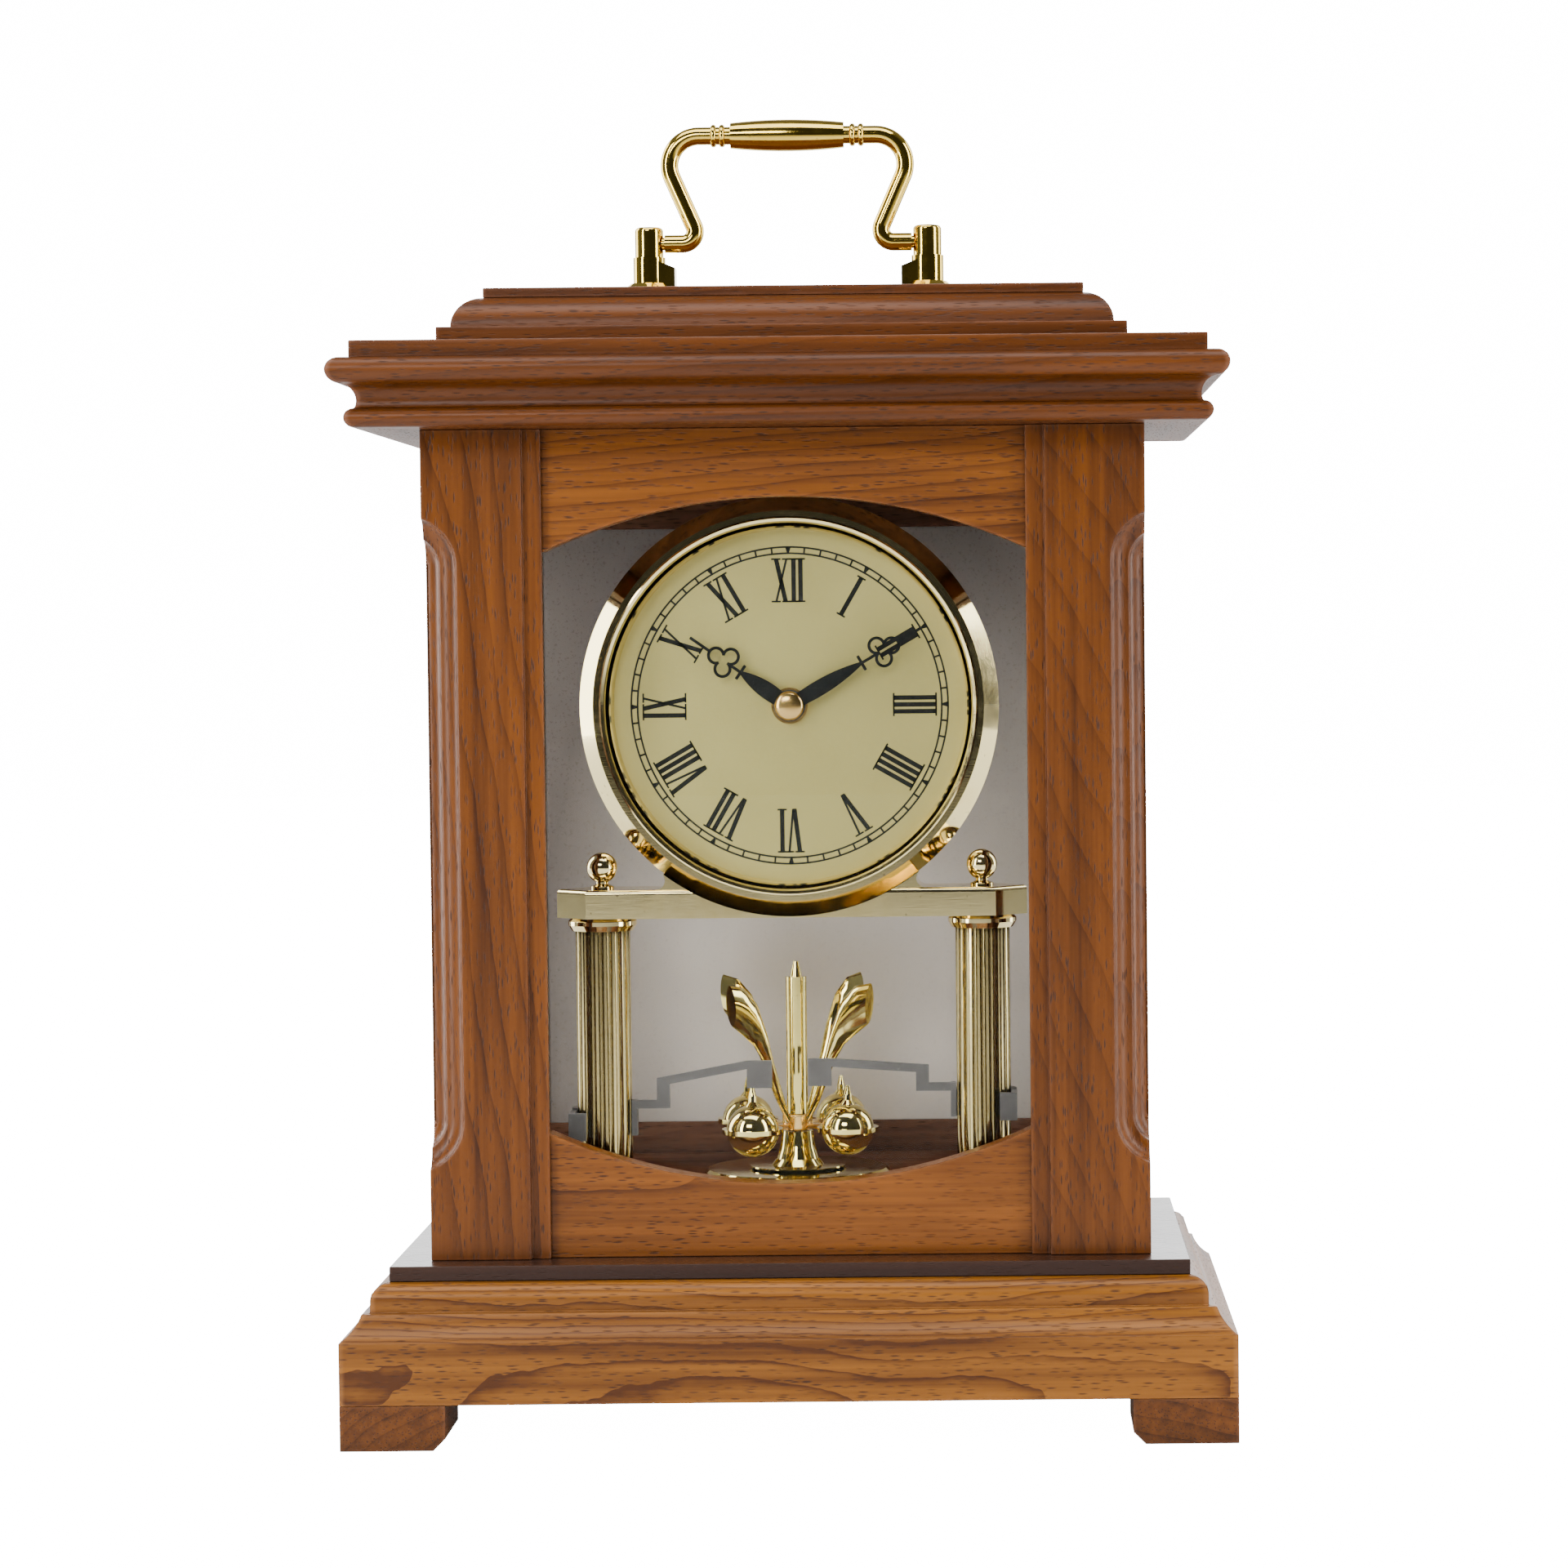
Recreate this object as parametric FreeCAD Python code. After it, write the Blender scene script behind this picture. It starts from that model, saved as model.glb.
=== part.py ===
import FreeCAD, Part
import math
import os

V = FreeCAD.Vector
X_AXIS = V(1, 0, 0)
Y_AXIS = V(0, 1, 0)
Z_AXIS = V(0, 0, 1)

# A wooden mantel clock. Millimetres, +Z up, front face towards -Y.
# The origin is on the standing surface, under the middle of the base.

# Case
case_width = 180.0
case_depth = 94.0
case_height = 207.3
wall = 12.0

# Base
base_overhang = 20.5
foot_height = 11.2
foot_size = 26.0
foot_chamfer = 3.0
rail_face_height = 15.5
cove_height = 6.4
cove_reach = 5.0
ovolo_height = 7.0
ovolo_radius = 4.3
ovolo_reach = 6.9
base_rail_thickness = 18.0
plinth_board_thickness = 3.8
plinth_board_overhang = 9.3

# Front frame
stile_width = 29.8
stile_thickness = 11.0
stile_return_depth = 20.0
stile_bead_width = 4.7
stile_bead_step = 1.3
rail_setback = 3.0
rail_thickness = 8.0
top_rail_height = 30.5
top_arch_rise = 13.3
bottom_rail_height = 31.3
bottom_arch_drop = 13.2
corner_cove_width = 8.7
corner_cove_arris = 4.0
corner_cove_sag = 1.0
corner_cove_end = 12.0
corner_cove_margin_low = 22.8
corner_cove_margin_high = 22.0

# Glass
glass_thickness = 2.0
glass_clearance = 0.5
rebate_depth = 4.0
side_glass_thickness = 2.0

# Inside boards
floor_height = 16.1
floor_thickness = 4.0
ceiling_thickness = 6.0

# Side and rear frames
side_rail_height = 20.0
rear_post_depth = 14.0
rear_rail_height_low = 11.8
rear_rail_height_high = 10.7
rear_rail_thickness = 10.0

# Rear door
door_thickness = 9.0
door_clearance = 0.5
door_stile_width = 8.0
door_rail_width = 12.0
door_panel_thickness = 2.5
door_panel_setback = 1.0
hinge_height = 20.0
hinge_inset = 30.0
hinge_leaf_width = 7.0
hinge_leaf_thickness = 1.0
hinge_knuckle_radius = 2.0
hinge_pin_radius = 0.9
hinge_running_clearance = 0.05
knob_radius = 5.0
knob_length = 9.0

# Cornice
cornice_height = 17.1
cornice_reach = 20.3
cornice_bead_reach = 16.4
cornice_bead_height = 4.8
cornice_throat_reach = 13.7
cornice_throat_height = 7.5
cornice_nose_height = 6.3
cornice_board_thickness = 4.2
cornice_board_overhang = 15.1
step_board_thickness = 4.4
step_board_inset = 3.9
crown_height = 7.9
crown_inset = 7.1
crown_radius = 7.9
cap_board_thickness = 2.5
cap_board_inset = 14.5

# Carrying handle
handle_post_spacing = 72.0
handle_pivot_height = 13.5
handle_flange_radius = 7.5
handle_flange_height = 3.2
handle_post_radius = 4.15
handle_post_neck_radius = 3.65
handle_post_height = 17.7
handle_step_height = 9.9
handle_pivot_radius = 1.6
handle_pivot_clearance = 0.05
handle_arm_radius = 2.3
handle_grip_length = 29.3
handle_grip_end_radius = 3.3
handle_grip_middle_radius = 4.1
handle_grip_height = 41.2
handle_arm_gap = 0.4
handle_arm_low_reach = 13.6
handle_arm_high_reach = 1.5
handle_arm_low_bend = 3.2
handle_arm_high_bend = 7.6

# Clock head
head_height = 137.5
head_front = 30.0
drum_radius = 53.3
drum_wall = 1.5
drum_depth = 38.0
drum_shoulder = 6.0
drum_lip_inset = 3.9
dial_opening_inset = 8.5
dial_glass_overlap = 1.6
dial_recess = 8.5
dial_thickness = 1.0
dial_glass_recess = 2.0
dial_glass_thickness = 1.5
hand_thickness = 0.4
hour_hand_length_share = 0.683
hour_hand_bar_share = 0.335
hour_hand_trefoil_share = 0.455
hour_hand_leaf = 2.05
minute_hand_length_share = 0.87
minute_hand_bar_share = 0.478
minute_hand_trefoil_share = 0.625
minute_hand_leaf = 1.9
hand_bar_half_length = 2.1
hand_boss_radius = 3.3
hand_neck = 1.3
trefoil_lobe_radius = 2.3
hand_line = 0.74
hour_hand_angle = 305.0
minute_hand_angle = 60.0
hand_cap_radius = 3.7
hand_cap_dome = 1.3
fixing_nut_radius = 4.6

# Movement
movement_size = 56.0
movement_depth = 18.0
movement_wall = 1.3
battery_radius = 7.1
battery_length = 50.0
gear_module = 0.4
cannon_teeth = 12
minute_wheel_teeth = 36
minute_pinion_teeth = 10
hour_wheel_teeth = 40
gear_thickness = 1.2
gear_bore_clearance = 0.05
shaft_radius = 0.8
hour_pipe_radius = 2.5
bush_radius = 4.0
set_knob_radius = 7.0

# Bridge and columns
column_spacing = 97.0
column_setback = 20.0
column_radius = 6.95
column_bore_radius = 5.0
flute_count = 20
flute_radius = 0.75
beam_height = 7.3
beam_length = 120.0
beam_depth = 18.0
beam_chamfer = 8.0
beam_fillet = 1.2
saddle_half_width = 32.2
saddle_rise = 3.9
saddle_web = 0.3
collar_radius = 8.75
collar_height = 3.3
tie_rod_radius = 1.5
tie_nut_width = 5.5
tie_nut_height = 2.4
finial_radius = 3.93
finial_neck_height = 2.0

# Rotary pendulum
pendulum_setback = 4.5
disc_radius = 23.9
disc_thickness = 1.2
hub_radius = 3.9
hub_low = 11.0
hub_height = 4.2
stem_radius = 2.72
stem_height = 50.8
stem_tip_height = 4.0
ball_orbit = 17.3
ball_height = 12.3
ball_radius = 6.7
ball_ring_radius = 7.9
ball_tip_height = 11.2
ball_count = 4
ball_first_angle = 51.0
petal_thickness = 3.4
bearing_radius = 1.2
bearing_clearance = 0.05
drive_housing_size = 56.0
drive_housing_depth = 26.0
drive_housing_wall = 1.5
coil_radius = 5.0
coil_length = 6.0

# Transit clips
clip_height = 7.0
clip_thickness = 1.4
clip_gap = 0.1
clip_bar_height = 2.1
clip_step_width = 3.3
clip_plane = 1.5
clip_tab_reach = 9.0
clip_tab_width = 3.0

# Heights over the floor board and places across, for each clip
clip_left = {"low": 12.0, "shelf": 21.0, "tab": 11.5, "step": 26.6, "arm": 30.8,
             "step_x": -35.0, "end_x": -12.0, "tab_x": -5.6}
clip_right = {"low": 16.0, "shelf": 24.8, "tab": 15.8, "step": 29.4, "arm": 31.2,
              "step_x": 34.5, "end_x": 9.6, "tab_x": 3.6}

rail_underside = foot_height
rail_top = rail_underside + rail_face_height
cove_top = rail_top + cove_height
ovolo_top = cove_top + ovolo_height
case_bottom = ovolo_top + plinth_board_thickness
case_top = case_bottom + case_height
half_width = case_width / 2
half_depth = case_depth / 2
inner_half_width = half_width - wall
base_half_width = half_width + base_overhang
base_half_depth = half_depth + base_overhang
opening_half_width = half_width - stile_width
rail_front = -half_depth + rail_setback
rail_back = rail_front + rail_thickness
glass_back = rail_back + glass_thickness
floor_top = case_bottom + floor_height
floor_bottom = floor_top - floor_thickness
rear_frame_front = half_depth - rear_rail_thickness
cornice_top = case_top + cornice_height
board_top = cornice_top + cornice_board_thickness
step_top = board_top + step_board_thickness
crown_top = step_top + crown_height
cap_top = crown_top + cap_board_thickness
head_z = case_bottom + head_height
lip_radius = drum_radius - drum_lip_inset
dial_opening_radius = drum_radius - dial_opening_inset
column_x = column_spacing / 2
column_y = -column_setback
pendulum_y = -pendulum_setback
beam_bottom = head_z - drum_radius - saddle_web
beam_top = beam_bottom + beam_height
dial_front = -head_front + dial_recess
dial_back = dial_front + dial_thickness
hour_hand_front = dial_front - 2.3
minute_hand_front = dial_front - 3.5
movement_back = dial_back + movement_depth
minute_wheel_offset = gear_module * (cannon_teeth + minute_wheel_teeth) / 2
hour_module = 2 * minute_wheel_offset / (minute_pinion_teeth + hour_wheel_teeth)
coil_top = floor_bottom - drive_housing_wall - 1.0


def save(name, *solids):
    shape = solids[0] if len(solids) == 1 else Part.makeCompound(list(solids))
    shape.exportStep("parts/" + name + ".step")


def block(x0, x1, y0, y1, z0, z1):
    return Part.makeBox(x1 - x0, y1 - y0, z1 - z0, V(x0, y0, z0))


def rod(x, y, z, radius, length, axis=Z_AXIS):
    return Part.makeCylinder(radius, length, V(x, y, z), axis)


def tube(x, y, z, outer, inner, length, axis=Z_AXIS):
    return rod(x, y, z, outer, length, axis).cut(rod(x, y, z, inner, length, axis))


def polygon(points, direction):
    corners = [V(*p) for p in points]
    return Part.Face(Part.makePolygon(corners + corners[:1])).extrude(direction)


def outline(edges, direction):
    return Part.Face(Part.Wire(edges)).extrude(direction)


def line(a, b):
    return Part.LineSegment(V(*a), V(*b)).toShape()


def arc(a, b, c):
    return Part.Arc(V(*a), V(*b), V(*c)).toShape()


def turned(profile, x, y, z):
    """A solid turned about the vertical through x, y from (radius, height) points."""
    points = [V(r, 0, h) for r, h in profile]
    face = Part.Face(Part.makePolygon(points + points[:1]))
    solid = face.revolve(V(0, 0, 0), Z_AXIS, 360)
    solid.translate(V(x, y, z))
    return solid


def turned_on_dial(profile):
    """A solid turned about the dial's axis from (radius, y) points."""
    points = [V(r, y, 0) for r, y in profile]
    face = Part.Face(Part.makePolygon(points + points[:1]))
    solid = face.revolve(V(0, 0, 0), Y_AXIS, 360)
    solid.translate(V(0, 0, head_z))
    return solid


def mitred_lengths(section, half_x, half_y):
    """Four mitred lengths of one moulding round a rectangle. The section is a list of
    edges in the plane x = 0, with -y as the reach from the rectangle's side."""
    lengths = []
    for along, away, turn in ((half_x, half_y, 0), (half_y, half_x, 90),
                              (half_x, half_y, 180), (half_y, half_x, 270)):
        face = Part.Face(Part.Wire(section))
        face.translate(V(-along - base_overhang, -away, 0))
        bar = face.extrude(V(2 * (along + base_overhang), 0, 0))
        spread = base_overhang * 2
        trapezium = polygon([(-along + spread, -away + spread, 0),
                             (along - spread, -away + spread, 0),
                             (along + spread, -away - spread, 0),
                             (-along - spread, -away - spread, 0)], V(0, 0, cap_top))
        length = bar.common(trapezium)
        length.rotate(V(0, 0, 0), Z_AXIS, turn)
        lengths.append(length)
    return lengths


def save_lengths(prefix, lengths):
    for side, length in zip(("front", "right", "back", "left"), lengths):
        save(prefix + "_" + side, length)


def mirrored(solid):
    return solid.mirror(V(0, 0, 0), X_AXIS)


# Base

def base_section():
    face = -base_overhang
    inner = face + base_rail_thickness
    cove_x = face + cove_reach
    ovolo_x = face + ovolo_reach
    slack = ovolo_radius * (1 - math.cos(math.pi / 4))
    top_x = ovolo_x + ovolo_radius
    return [line((0, inner, rail_underside), (0, face, rail_underside)),
            line((0, face, rail_underside), (0, face, rail_top)),
            arc((0, face, rail_top), (0, face + 0.68 * cove_reach, rail_top + 0.5 * cove_height),
                (0, cove_x, cove_top)),
            line((0, cove_x, cove_top), (0, ovolo_x, cove_top)),
            line((0, ovolo_x, cove_top), (0, ovolo_x, ovolo_top - ovolo_radius)),
            arc((0, ovolo_x, ovolo_top - ovolo_radius), (0, ovolo_x + slack, ovolo_top - slack),
                (0, top_x, ovolo_top)),
            line((0, top_x, ovolo_top), (0, inner, ovolo_top)),
            line((0, inner, ovolo_top), (0, inner, rail_underside))]


def foot(sign_x, sign_y):
    outer_x = base_half_width
    inner_x = outer_x - foot_size
    chamfer_x = inner_x + foot_chamfer
    solid = polygon([(inner_x, 0, foot_chamfer), (chamfer_x, 0, 0), (outer_x, 0, 0),
                     (outer_x, 0, foot_height), (inner_x, 0, foot_height)], V(0, foot_size, 0))
    solid.translate(V(0, base_half_depth - foot_size, 0))
    if sign_x < 0:
        solid = solid.mirror(V(0, 0, 0), X_AXIS)
    if sign_y < 0:
        solid = solid.mirror(V(0, 0, 0), Y_AXIS)
    return solid


def plinth_board():
    half_x = half_width + plinth_board_overhang
    half_y = half_depth + plinth_board_overhang
    board = block(-half_x, half_x, -half_y, half_y, ovolo_top, case_bottom)
    half_hole = drive_housing_size / 2 + 1
    return board.cut(block(-half_hole, half_hole, pendulum_y - half_hole, pendulum_y + half_hole,
                           ovolo_top, case_bottom))


# Case

def corner_cove():
    """The tool for the stopped cove down an outer front corner: two coves that meet in
    an arris. Its rounded ends are what a cutter turning about Y leaves. It is drawn
    about the corner itself, with the post towards +x and +y."""
    w = corner_cove_width
    a = corner_cove_arris
    tilt = math.atan2(a, w - a)
    mid_x = (w + a) / 2 + corner_cove_sag * math.sin(tilt)
    mid_y = a / 2 + corner_cove_sag * math.cos(tilt)
    axis_x = (w * w - corner_cove_end * corner_cove_end) / (2 * w)
    out = 1.0
    edges = [line((axis_x, -out, 0), (w, -out, 0)), line((w, -out, 0), (w, 0, 0)),
             arc((w, 0, 0), (mid_x, mid_y, 0), (a, a, 0)),
             arc((a, a, 0), (mid_y, mid_x, 0), (0, w, 0)),
             line((0, w, 0), (axis_x, w, 0)), line((axis_x, w, 0), (axis_x, -out, 0))]
    low = case_bottom + corner_cove_margin_low + corner_cove_end
    high = case_top - corner_cove_margin_high - corner_cove_end
    tool = outline(edges, V(0, 0, high - low))
    tool.translate(V(0, 0, low))
    end = Part.Face(Part.Wire(edges)).revolve(V(axis_x, 0, 0), Y_AXIS, 360)
    for z in (low, high):
        cap = end.copy()
        cap.translate(V(0, 0, z))
        tool = tool.fuse(cap)
    return tool


def corner_post():
    """The left front post: a stile, a return down the side, and a bead by the opening."""
    left = -half_width
    front = -half_depth
    stile = block(left, -opening_half_width, front, front + stile_thickness, case_bottom, case_top)
    side = block(left, left + wall, front, front + stile_return_depth, case_bottom, case_top)
    post = stile.fuse(side).removeSplitter()
    bead_x = -opening_half_width - stile_bead_width
    post = post.cut(block(bead_x, -opening_half_width, front, front + stile_bead_step,
                          case_bottom, case_top))
    tool = corner_cove()
    tool.translate(V(left, front, 0))
    post = post.cut(tool)
    rebate_x = -opening_half_width - rebate_depth
    return post.cut(block(rebate_x, -opening_half_width, rail_front, front + stile_thickness,
                          case_bottom, case_top)).removeSplitter()


def arched_rail(bottom, top, arch_side, crown):
    """A front rail whose inner edge is one long arc from opening edge to opening edge."""
    reach = opening_half_width + rebate_depth
    half = opening_half_width
    y = rail_front
    straight, curved = (top, bottom) if arch_side == "below" else (bottom, top)
    edges = [line((-reach, y, straight), (reach, y, straight)),
             line((reach, y, straight), (reach, y, curved)),
             line((reach, y, curved), (half, y, curved)),
             arc((half, y, curved), (0, y, crown), (-half, y, curved)),
             line((-half, y, curved), (-reach, y, curved)),
             line((-reach, y, curved), (-reach, y, straight))]
    return outline(edges, V(0, rail_thickness, 0))


def front_rails():
    top_edge = case_top - top_rail_height
    bottom_edge = case_bottom + bottom_rail_height
    top = arched_rail(top_edge, case_top, "below", top_edge + top_arch_rise)
    bottom = arched_rail(case_bottom, bottom_edge, "above", bottom_edge - bottom_arch_drop)
    return top, bottom


def side_frame():
    """The left side frame: the rear post with the two rails that reach the front post."""
    left = -half_width
    front = -half_depth + stile_return_depth
    frame = block(left, left + wall, front, half_depth, case_bottom, case_top)
    window = block(left, left + wall, front, half_depth - rear_post_depth,
                   case_bottom + side_rail_height, case_top - side_rail_height)
    return frame.cut(window).cut(side_glass_space(0))


def side_glass_space(clearance):
    """The left pane, or with no clearance the slot that holds it."""
    middle = -half_width + wall / 2
    half = side_glass_thickness / 2 - clearance / 2
    edge = rebate_depth - clearance
    return block(middle - half, middle + half,
                 -half_depth + stile_return_depth - edge, half_depth - rear_post_depth + edge,
                 case_bottom + side_rail_height - edge, case_top - side_rail_height + edge)


def save_case():
    post = corner_post().cut(side_glass_space(0))
    save("corner_post_left", post)
    save("corner_post_right", mirrored(post))
    top_rail, bottom_rail = front_rails()
    save("front_top_rail", top_rail)
    save("front_bottom_rail", bottom_rail)
    glass_half = inner_half_width - glass_clearance
    save("front_glass", block(-glass_half, glass_half, rail_back, glass_back,
                              floor_bottom, case_top - ceiling_thickness - glass_clearance))
    frame = side_frame()
    save("side_frame_left", frame)
    save("side_frame_right", mirrored(frame))
    pane = side_glass_space(0.2)
    save("side_glasses", pane, mirrored(pane))
    inner = inner_half_width
    floor = block(-inner, inner, glass_back, rear_frame_front, floor_bottom, floor_top)
    for sign in (-1, 1):
        floor = floor.cut(rod(sign * column_x, column_y, floor_bottom, tie_rod_radius + 0.2,
                              floor_thickness))
    floor = floor.cut(rod(0, pendulum_y, floor_bottom, coil_radius + 1.0, floor_thickness))
    save("floor_board", floor)
    save("top_board", block(-inner, inner, rail_back, rear_frame_front,
                            case_top - ceiling_thickness, case_top))
    rear_low = block(-inner, inner, rear_frame_front, half_depth,
                     case_bottom, case_bottom + rear_rail_height_low)
    rear_high = block(-inner, inner, rear_frame_front, half_depth,
                      case_top - rear_rail_height_high, case_top)
    save("rear_rails", rear_low, rear_high)


# Rear door, hinged on the right-hand post seen from the front

door_half = inner_half_width - door_clearance
door_low = case_bottom + rear_rail_height_low + door_clearance
door_high = case_top - rear_rail_height_high - door_clearance
door_front = half_depth - door_thickness
hinge_x = inner_half_width
hinge_y = half_depth + hinge_knuckle_radius
hinge_levels = (door_low + hinge_inset, door_high - hinge_inset - hinge_height)


def save_door():
    frame = block(-door_half, door_half, door_front, half_depth, door_low, door_high)
    window = block(-door_half + door_stile_width, door_half - door_stile_width,
                   door_front, half_depth, door_low + door_rail_width, door_high - door_rail_width)
    panel_edge = rebate_depth
    panel_front = door_front + door_panel_setback
    seat = block(-door_half + door_stile_width - panel_edge,
                 door_half - door_stile_width + panel_edge,
                 panel_front, panel_front + door_panel_thickness,
                 door_low + door_rail_width - panel_edge, door_high - door_rail_width + panel_edge)
    knob_x = -door_half + door_stile_width / 2
    knob_z = (door_low + door_high) / 2
    knob_hole = rod(knob_x, half_depth - 5.0, knob_z, 1.5, 5.0, Y_AXIS)
    save("rear_door_frame", frame.cut(window).cut(seat).cut(knob_hole))
    save("rear_door_panel", seat)
    knob = rod(knob_x, half_depth - 5.0, knob_z, 1.5, 5.0, Y_AXIS)
    knob = knob.fuse(rod(knob_x, half_depth, knob_z, 2.2, knob_length - 4.0, Y_AXIS))
    head = rod(knob_x, half_depth + knob_length - 4.0, knob_z, knob_radius, 4.0, Y_AXIS)
    save("door_knob", knob.fuse(head.makeFillet(1.2, head.Edges)).removeSplitter())


def hinge_leaf(level, towards, knuckles):
    """One leaf of a butt hinge: a flat on the rear face, and every other knuckle."""
    x_far = hinge_x + towards * hinge_leaf_width
    x_near = hinge_x + towards * 0.3
    flat = block(min(x_far, x_near), max(x_far, x_near), half_depth,
                 half_depth + hinge_leaf_thickness, level, level + hinge_height)
    pitch = hinge_height / 5
    barrel_hole = rod(hinge_x, hinge_y, level, hinge_pin_radius + hinge_running_clearance,
                      hinge_height)
    for index in range(5):
        z = level + index * pitch
        if index in knuckles:
            flat = flat.fuse(rod(hinge_x, hinge_y, z + 0.1, hinge_knuckle_radius, pitch - 0.2))
        else:
            flat = flat.cut(rod(hinge_x, hinge_y, z - 0.1, hinge_knuckle_radius + 0.3, pitch + 0.2))
    return flat.cut(barrel_hole).removeSplitter()


def save_hinges():
    fixed = [hinge_leaf(level, 1, (0, 2, 4)) for level in hinge_levels]
    door_leaves = [hinge_leaf(level, -1, (1, 3)) for level in hinge_levels]
    for level in hinge_levels:
        pin = rod(hinge_x, hinge_y, level, hinge_pin_radius, hinge_height)
        ball = Part.makeSphere(hinge_pin_radius * 1.7, V(hinge_x, hinge_y, level + hinge_height + 1.2))
        fixed.append(pin.fuse(ball))
    save("hinge_case_leaves_and_pins", *fixed)
    save("hinge_door_leaves", *door_leaves)


# Cornice

def cornice_section():
    """The crown moulding: a bead, a hollow throat and a bullnose, as wide as the case's
    wall where it sits on it, so that its inner edge is over the top board's edge."""
    bottom = case_top
    bead = -cornice_bead_reach
    bead_top = bottom + cornice_bead_height
    bead_root = bead + cornice_bead_height / 2
    throat = -cornice_throat_reach
    throat_z = bottom + cornice_throat_height
    nose_z = cornice_top - cornice_nose_height
    nose_root = -cornice_reach + cornice_nose_height / 2
    inner = wall
    return [line((0, inner, bottom), (0, bead_root, bottom)),
            arc((0, bead_root, bottom), (0, bead, bottom + cornice_bead_height / 2),
                (0, bead_root, bead_top)),
            arc((0, bead_root, bead_top), (0, throat, throat_z), (0, nose_root, nose_z)),
            arc((0, nose_root, nose_z), (0, -cornice_reach, nose_z + cornice_nose_height / 2),
                (0, nose_root, cornice_top)),
            line((0, nose_root, cornice_top), (0, inner, cornice_top)),
            line((0, inner, cornice_top), (0, inner, bottom))]


def slab(half_x, half_y, bottom, top):
    return block(-half_x, half_x, -half_y, half_y, bottom, top)


def crown_board():
    """A board with a quarter round worked along all four upper edges."""
    half_x = half_width - crown_inset
    half_y = half_depth - crown_inset
    board = slab(half_x, half_y, step_top, crown_top)
    edges = [edge for edge in board.Edges
             if edge.BoundBox.ZMin > crown_top - 0.1]
    return board.makeFillet(crown_radius - 0.05, edges)


def save_cornice():
    save_lengths("cornice", mitred_lengths(cornice_section(), half_width, half_depth))
    board_x = half_width + cornice_board_overhang
    board_y = half_depth + cornice_board_overhang
    save("cornice_board", slab(board_x, board_y, cornice_top, board_top))
    save("step_board", slab(half_width - step_board_inset, half_depth - step_board_inset,
                            board_top, step_top))
    post_holes = [rod(sign * handle_post_spacing / 2, 0, step_top, 1.6, cap_top - step_top)
                  for sign in (-1, 1)]
    crown = crown_board()
    cap = slab(half_width - cap_board_inset, half_depth - cap_board_inset, crown_top, cap_top)
    for hole in post_holes:
        crown = crown.cut(hole)
        cap = cap.cut(hole)
    save("crown_board", crown)
    save("cap_board", cap)


# Carrying handle

def handle_post():
    """The left post, turned, with a lug on its inner side and a threaded stud below."""
    x = -handle_post_spacing / 2
    stud_depth = crown_height + cap_board_thickness
    post = rod(x, 0, cap_top - stud_depth, 1.5, stud_depth)
    flange = turned([(0, 0), (handle_flange_radius, 0), (handle_flange_radius, 0.9),
                     (handle_post_radius + 0.8, handle_flange_height),
                     (0, handle_flange_height)], x, 0, cap_top)
    lower = rod(x, 0, cap_top, handle_post_radius, handle_step_height)
    lug = polygon([(x, -handle_post_radius * 0.8, cap_top),
                   (x + handle_post_radius + 2.6, -handle_post_radius * 0.8, cap_top),
                   (x + handle_post_radius + 2.6, -handle_post_radius * 0.8,
                    cap_top + handle_step_height - 2.8),
                   (x, -handle_post_radius * 0.8, cap_top + handle_step_height)],
                  V(0, handle_post_radius * 1.6, 0))
    upper = rod(x, 0, cap_top, handle_post_neck_radius, handle_post_height)
    upper = upper.makeFillet(1.0, [edge for edge in upper.Edges
                                   if edge.BoundBox.ZMin > cap_top + handle_post_height - 0.1])
    pivot_z = cap_top + handle_pivot_height
    bore = rod(x, 0, pivot_z, handle_pivot_radius + handle_pivot_clearance, 8.0, X_AXIS)
    return post.fuse([flange, lower, lug, upper]).cut(bore).removeSplitter()


def handle_arm():
    """The left arm: one rod with two round bends, from its pivot pin up to the grip."""
    pivot_z = cap_top + handle_pivot_height
    grip_z = cap_top + handle_grip_height
    start_x = -handle_post_spacing / 2 + handle_post_neck_radius + handle_arm_gap
    end_x = -handle_grip_length / 2
    low_x = -handle_post_spacing / 2 + handle_arm_low_reach
    high_x = -handle_post_spacing / 2 + handle_arm_high_reach
    rise = grip_z - pivot_z
    slope = math.atan2(rise, high_x - low_x)
    half_turn = math.tan(slope / 2)
    low_cut = handle_arm_low_bend * half_turn
    high_cut = handle_arm_high_bend * half_turn
    lean = V(math.cos(slope), 0, math.sin(slope))
    low_corner = V(low_x, 0, pivot_z)
    high_corner = V(high_x, 0, grip_z)
    low_in = low_corner - X_AXIS * low_cut
    low_out = low_corner + lean * low_cut
    high_in = high_corner - lean * high_cut
    high_out = high_corner + X_AXIS * high_cut
    low_centre = low_in + V(0, 0, handle_arm_low_bend)
    high_centre = high_out - V(0, 0, handle_arm_high_bend)
    low_mid = low_centre + (low_corner - low_centre).normalize() * handle_arm_low_bend
    high_mid = high_centre + (high_corner - high_centre).normalize() * handle_arm_high_bend
    start = V(start_x, 0, pivot_z)
    path = Part.Wire([Part.LineSegment(start, low_in).toShape(),
                      Part.Arc(low_in, low_mid, low_out).toShape(),
                      Part.LineSegment(low_out, high_in).toShape(),
                      Part.Arc(high_in, high_mid, high_out).toShape(),
                      Part.LineSegment(high_out, V(end_x, 0, grip_z)).toShape()])
    ring = Part.Wire([Part.Circle(start, X_AXIS, handle_arm_radius).toShape()])
    arm = path.makePipeShell([ring], True, True)
    stub_x = -handle_post_spacing / 2 + handle_arm_gap
    return arm.fuse(rod(stub_x, 0, pivot_z, handle_pivot_radius, start_x - stub_x, X_AXIS))


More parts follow.
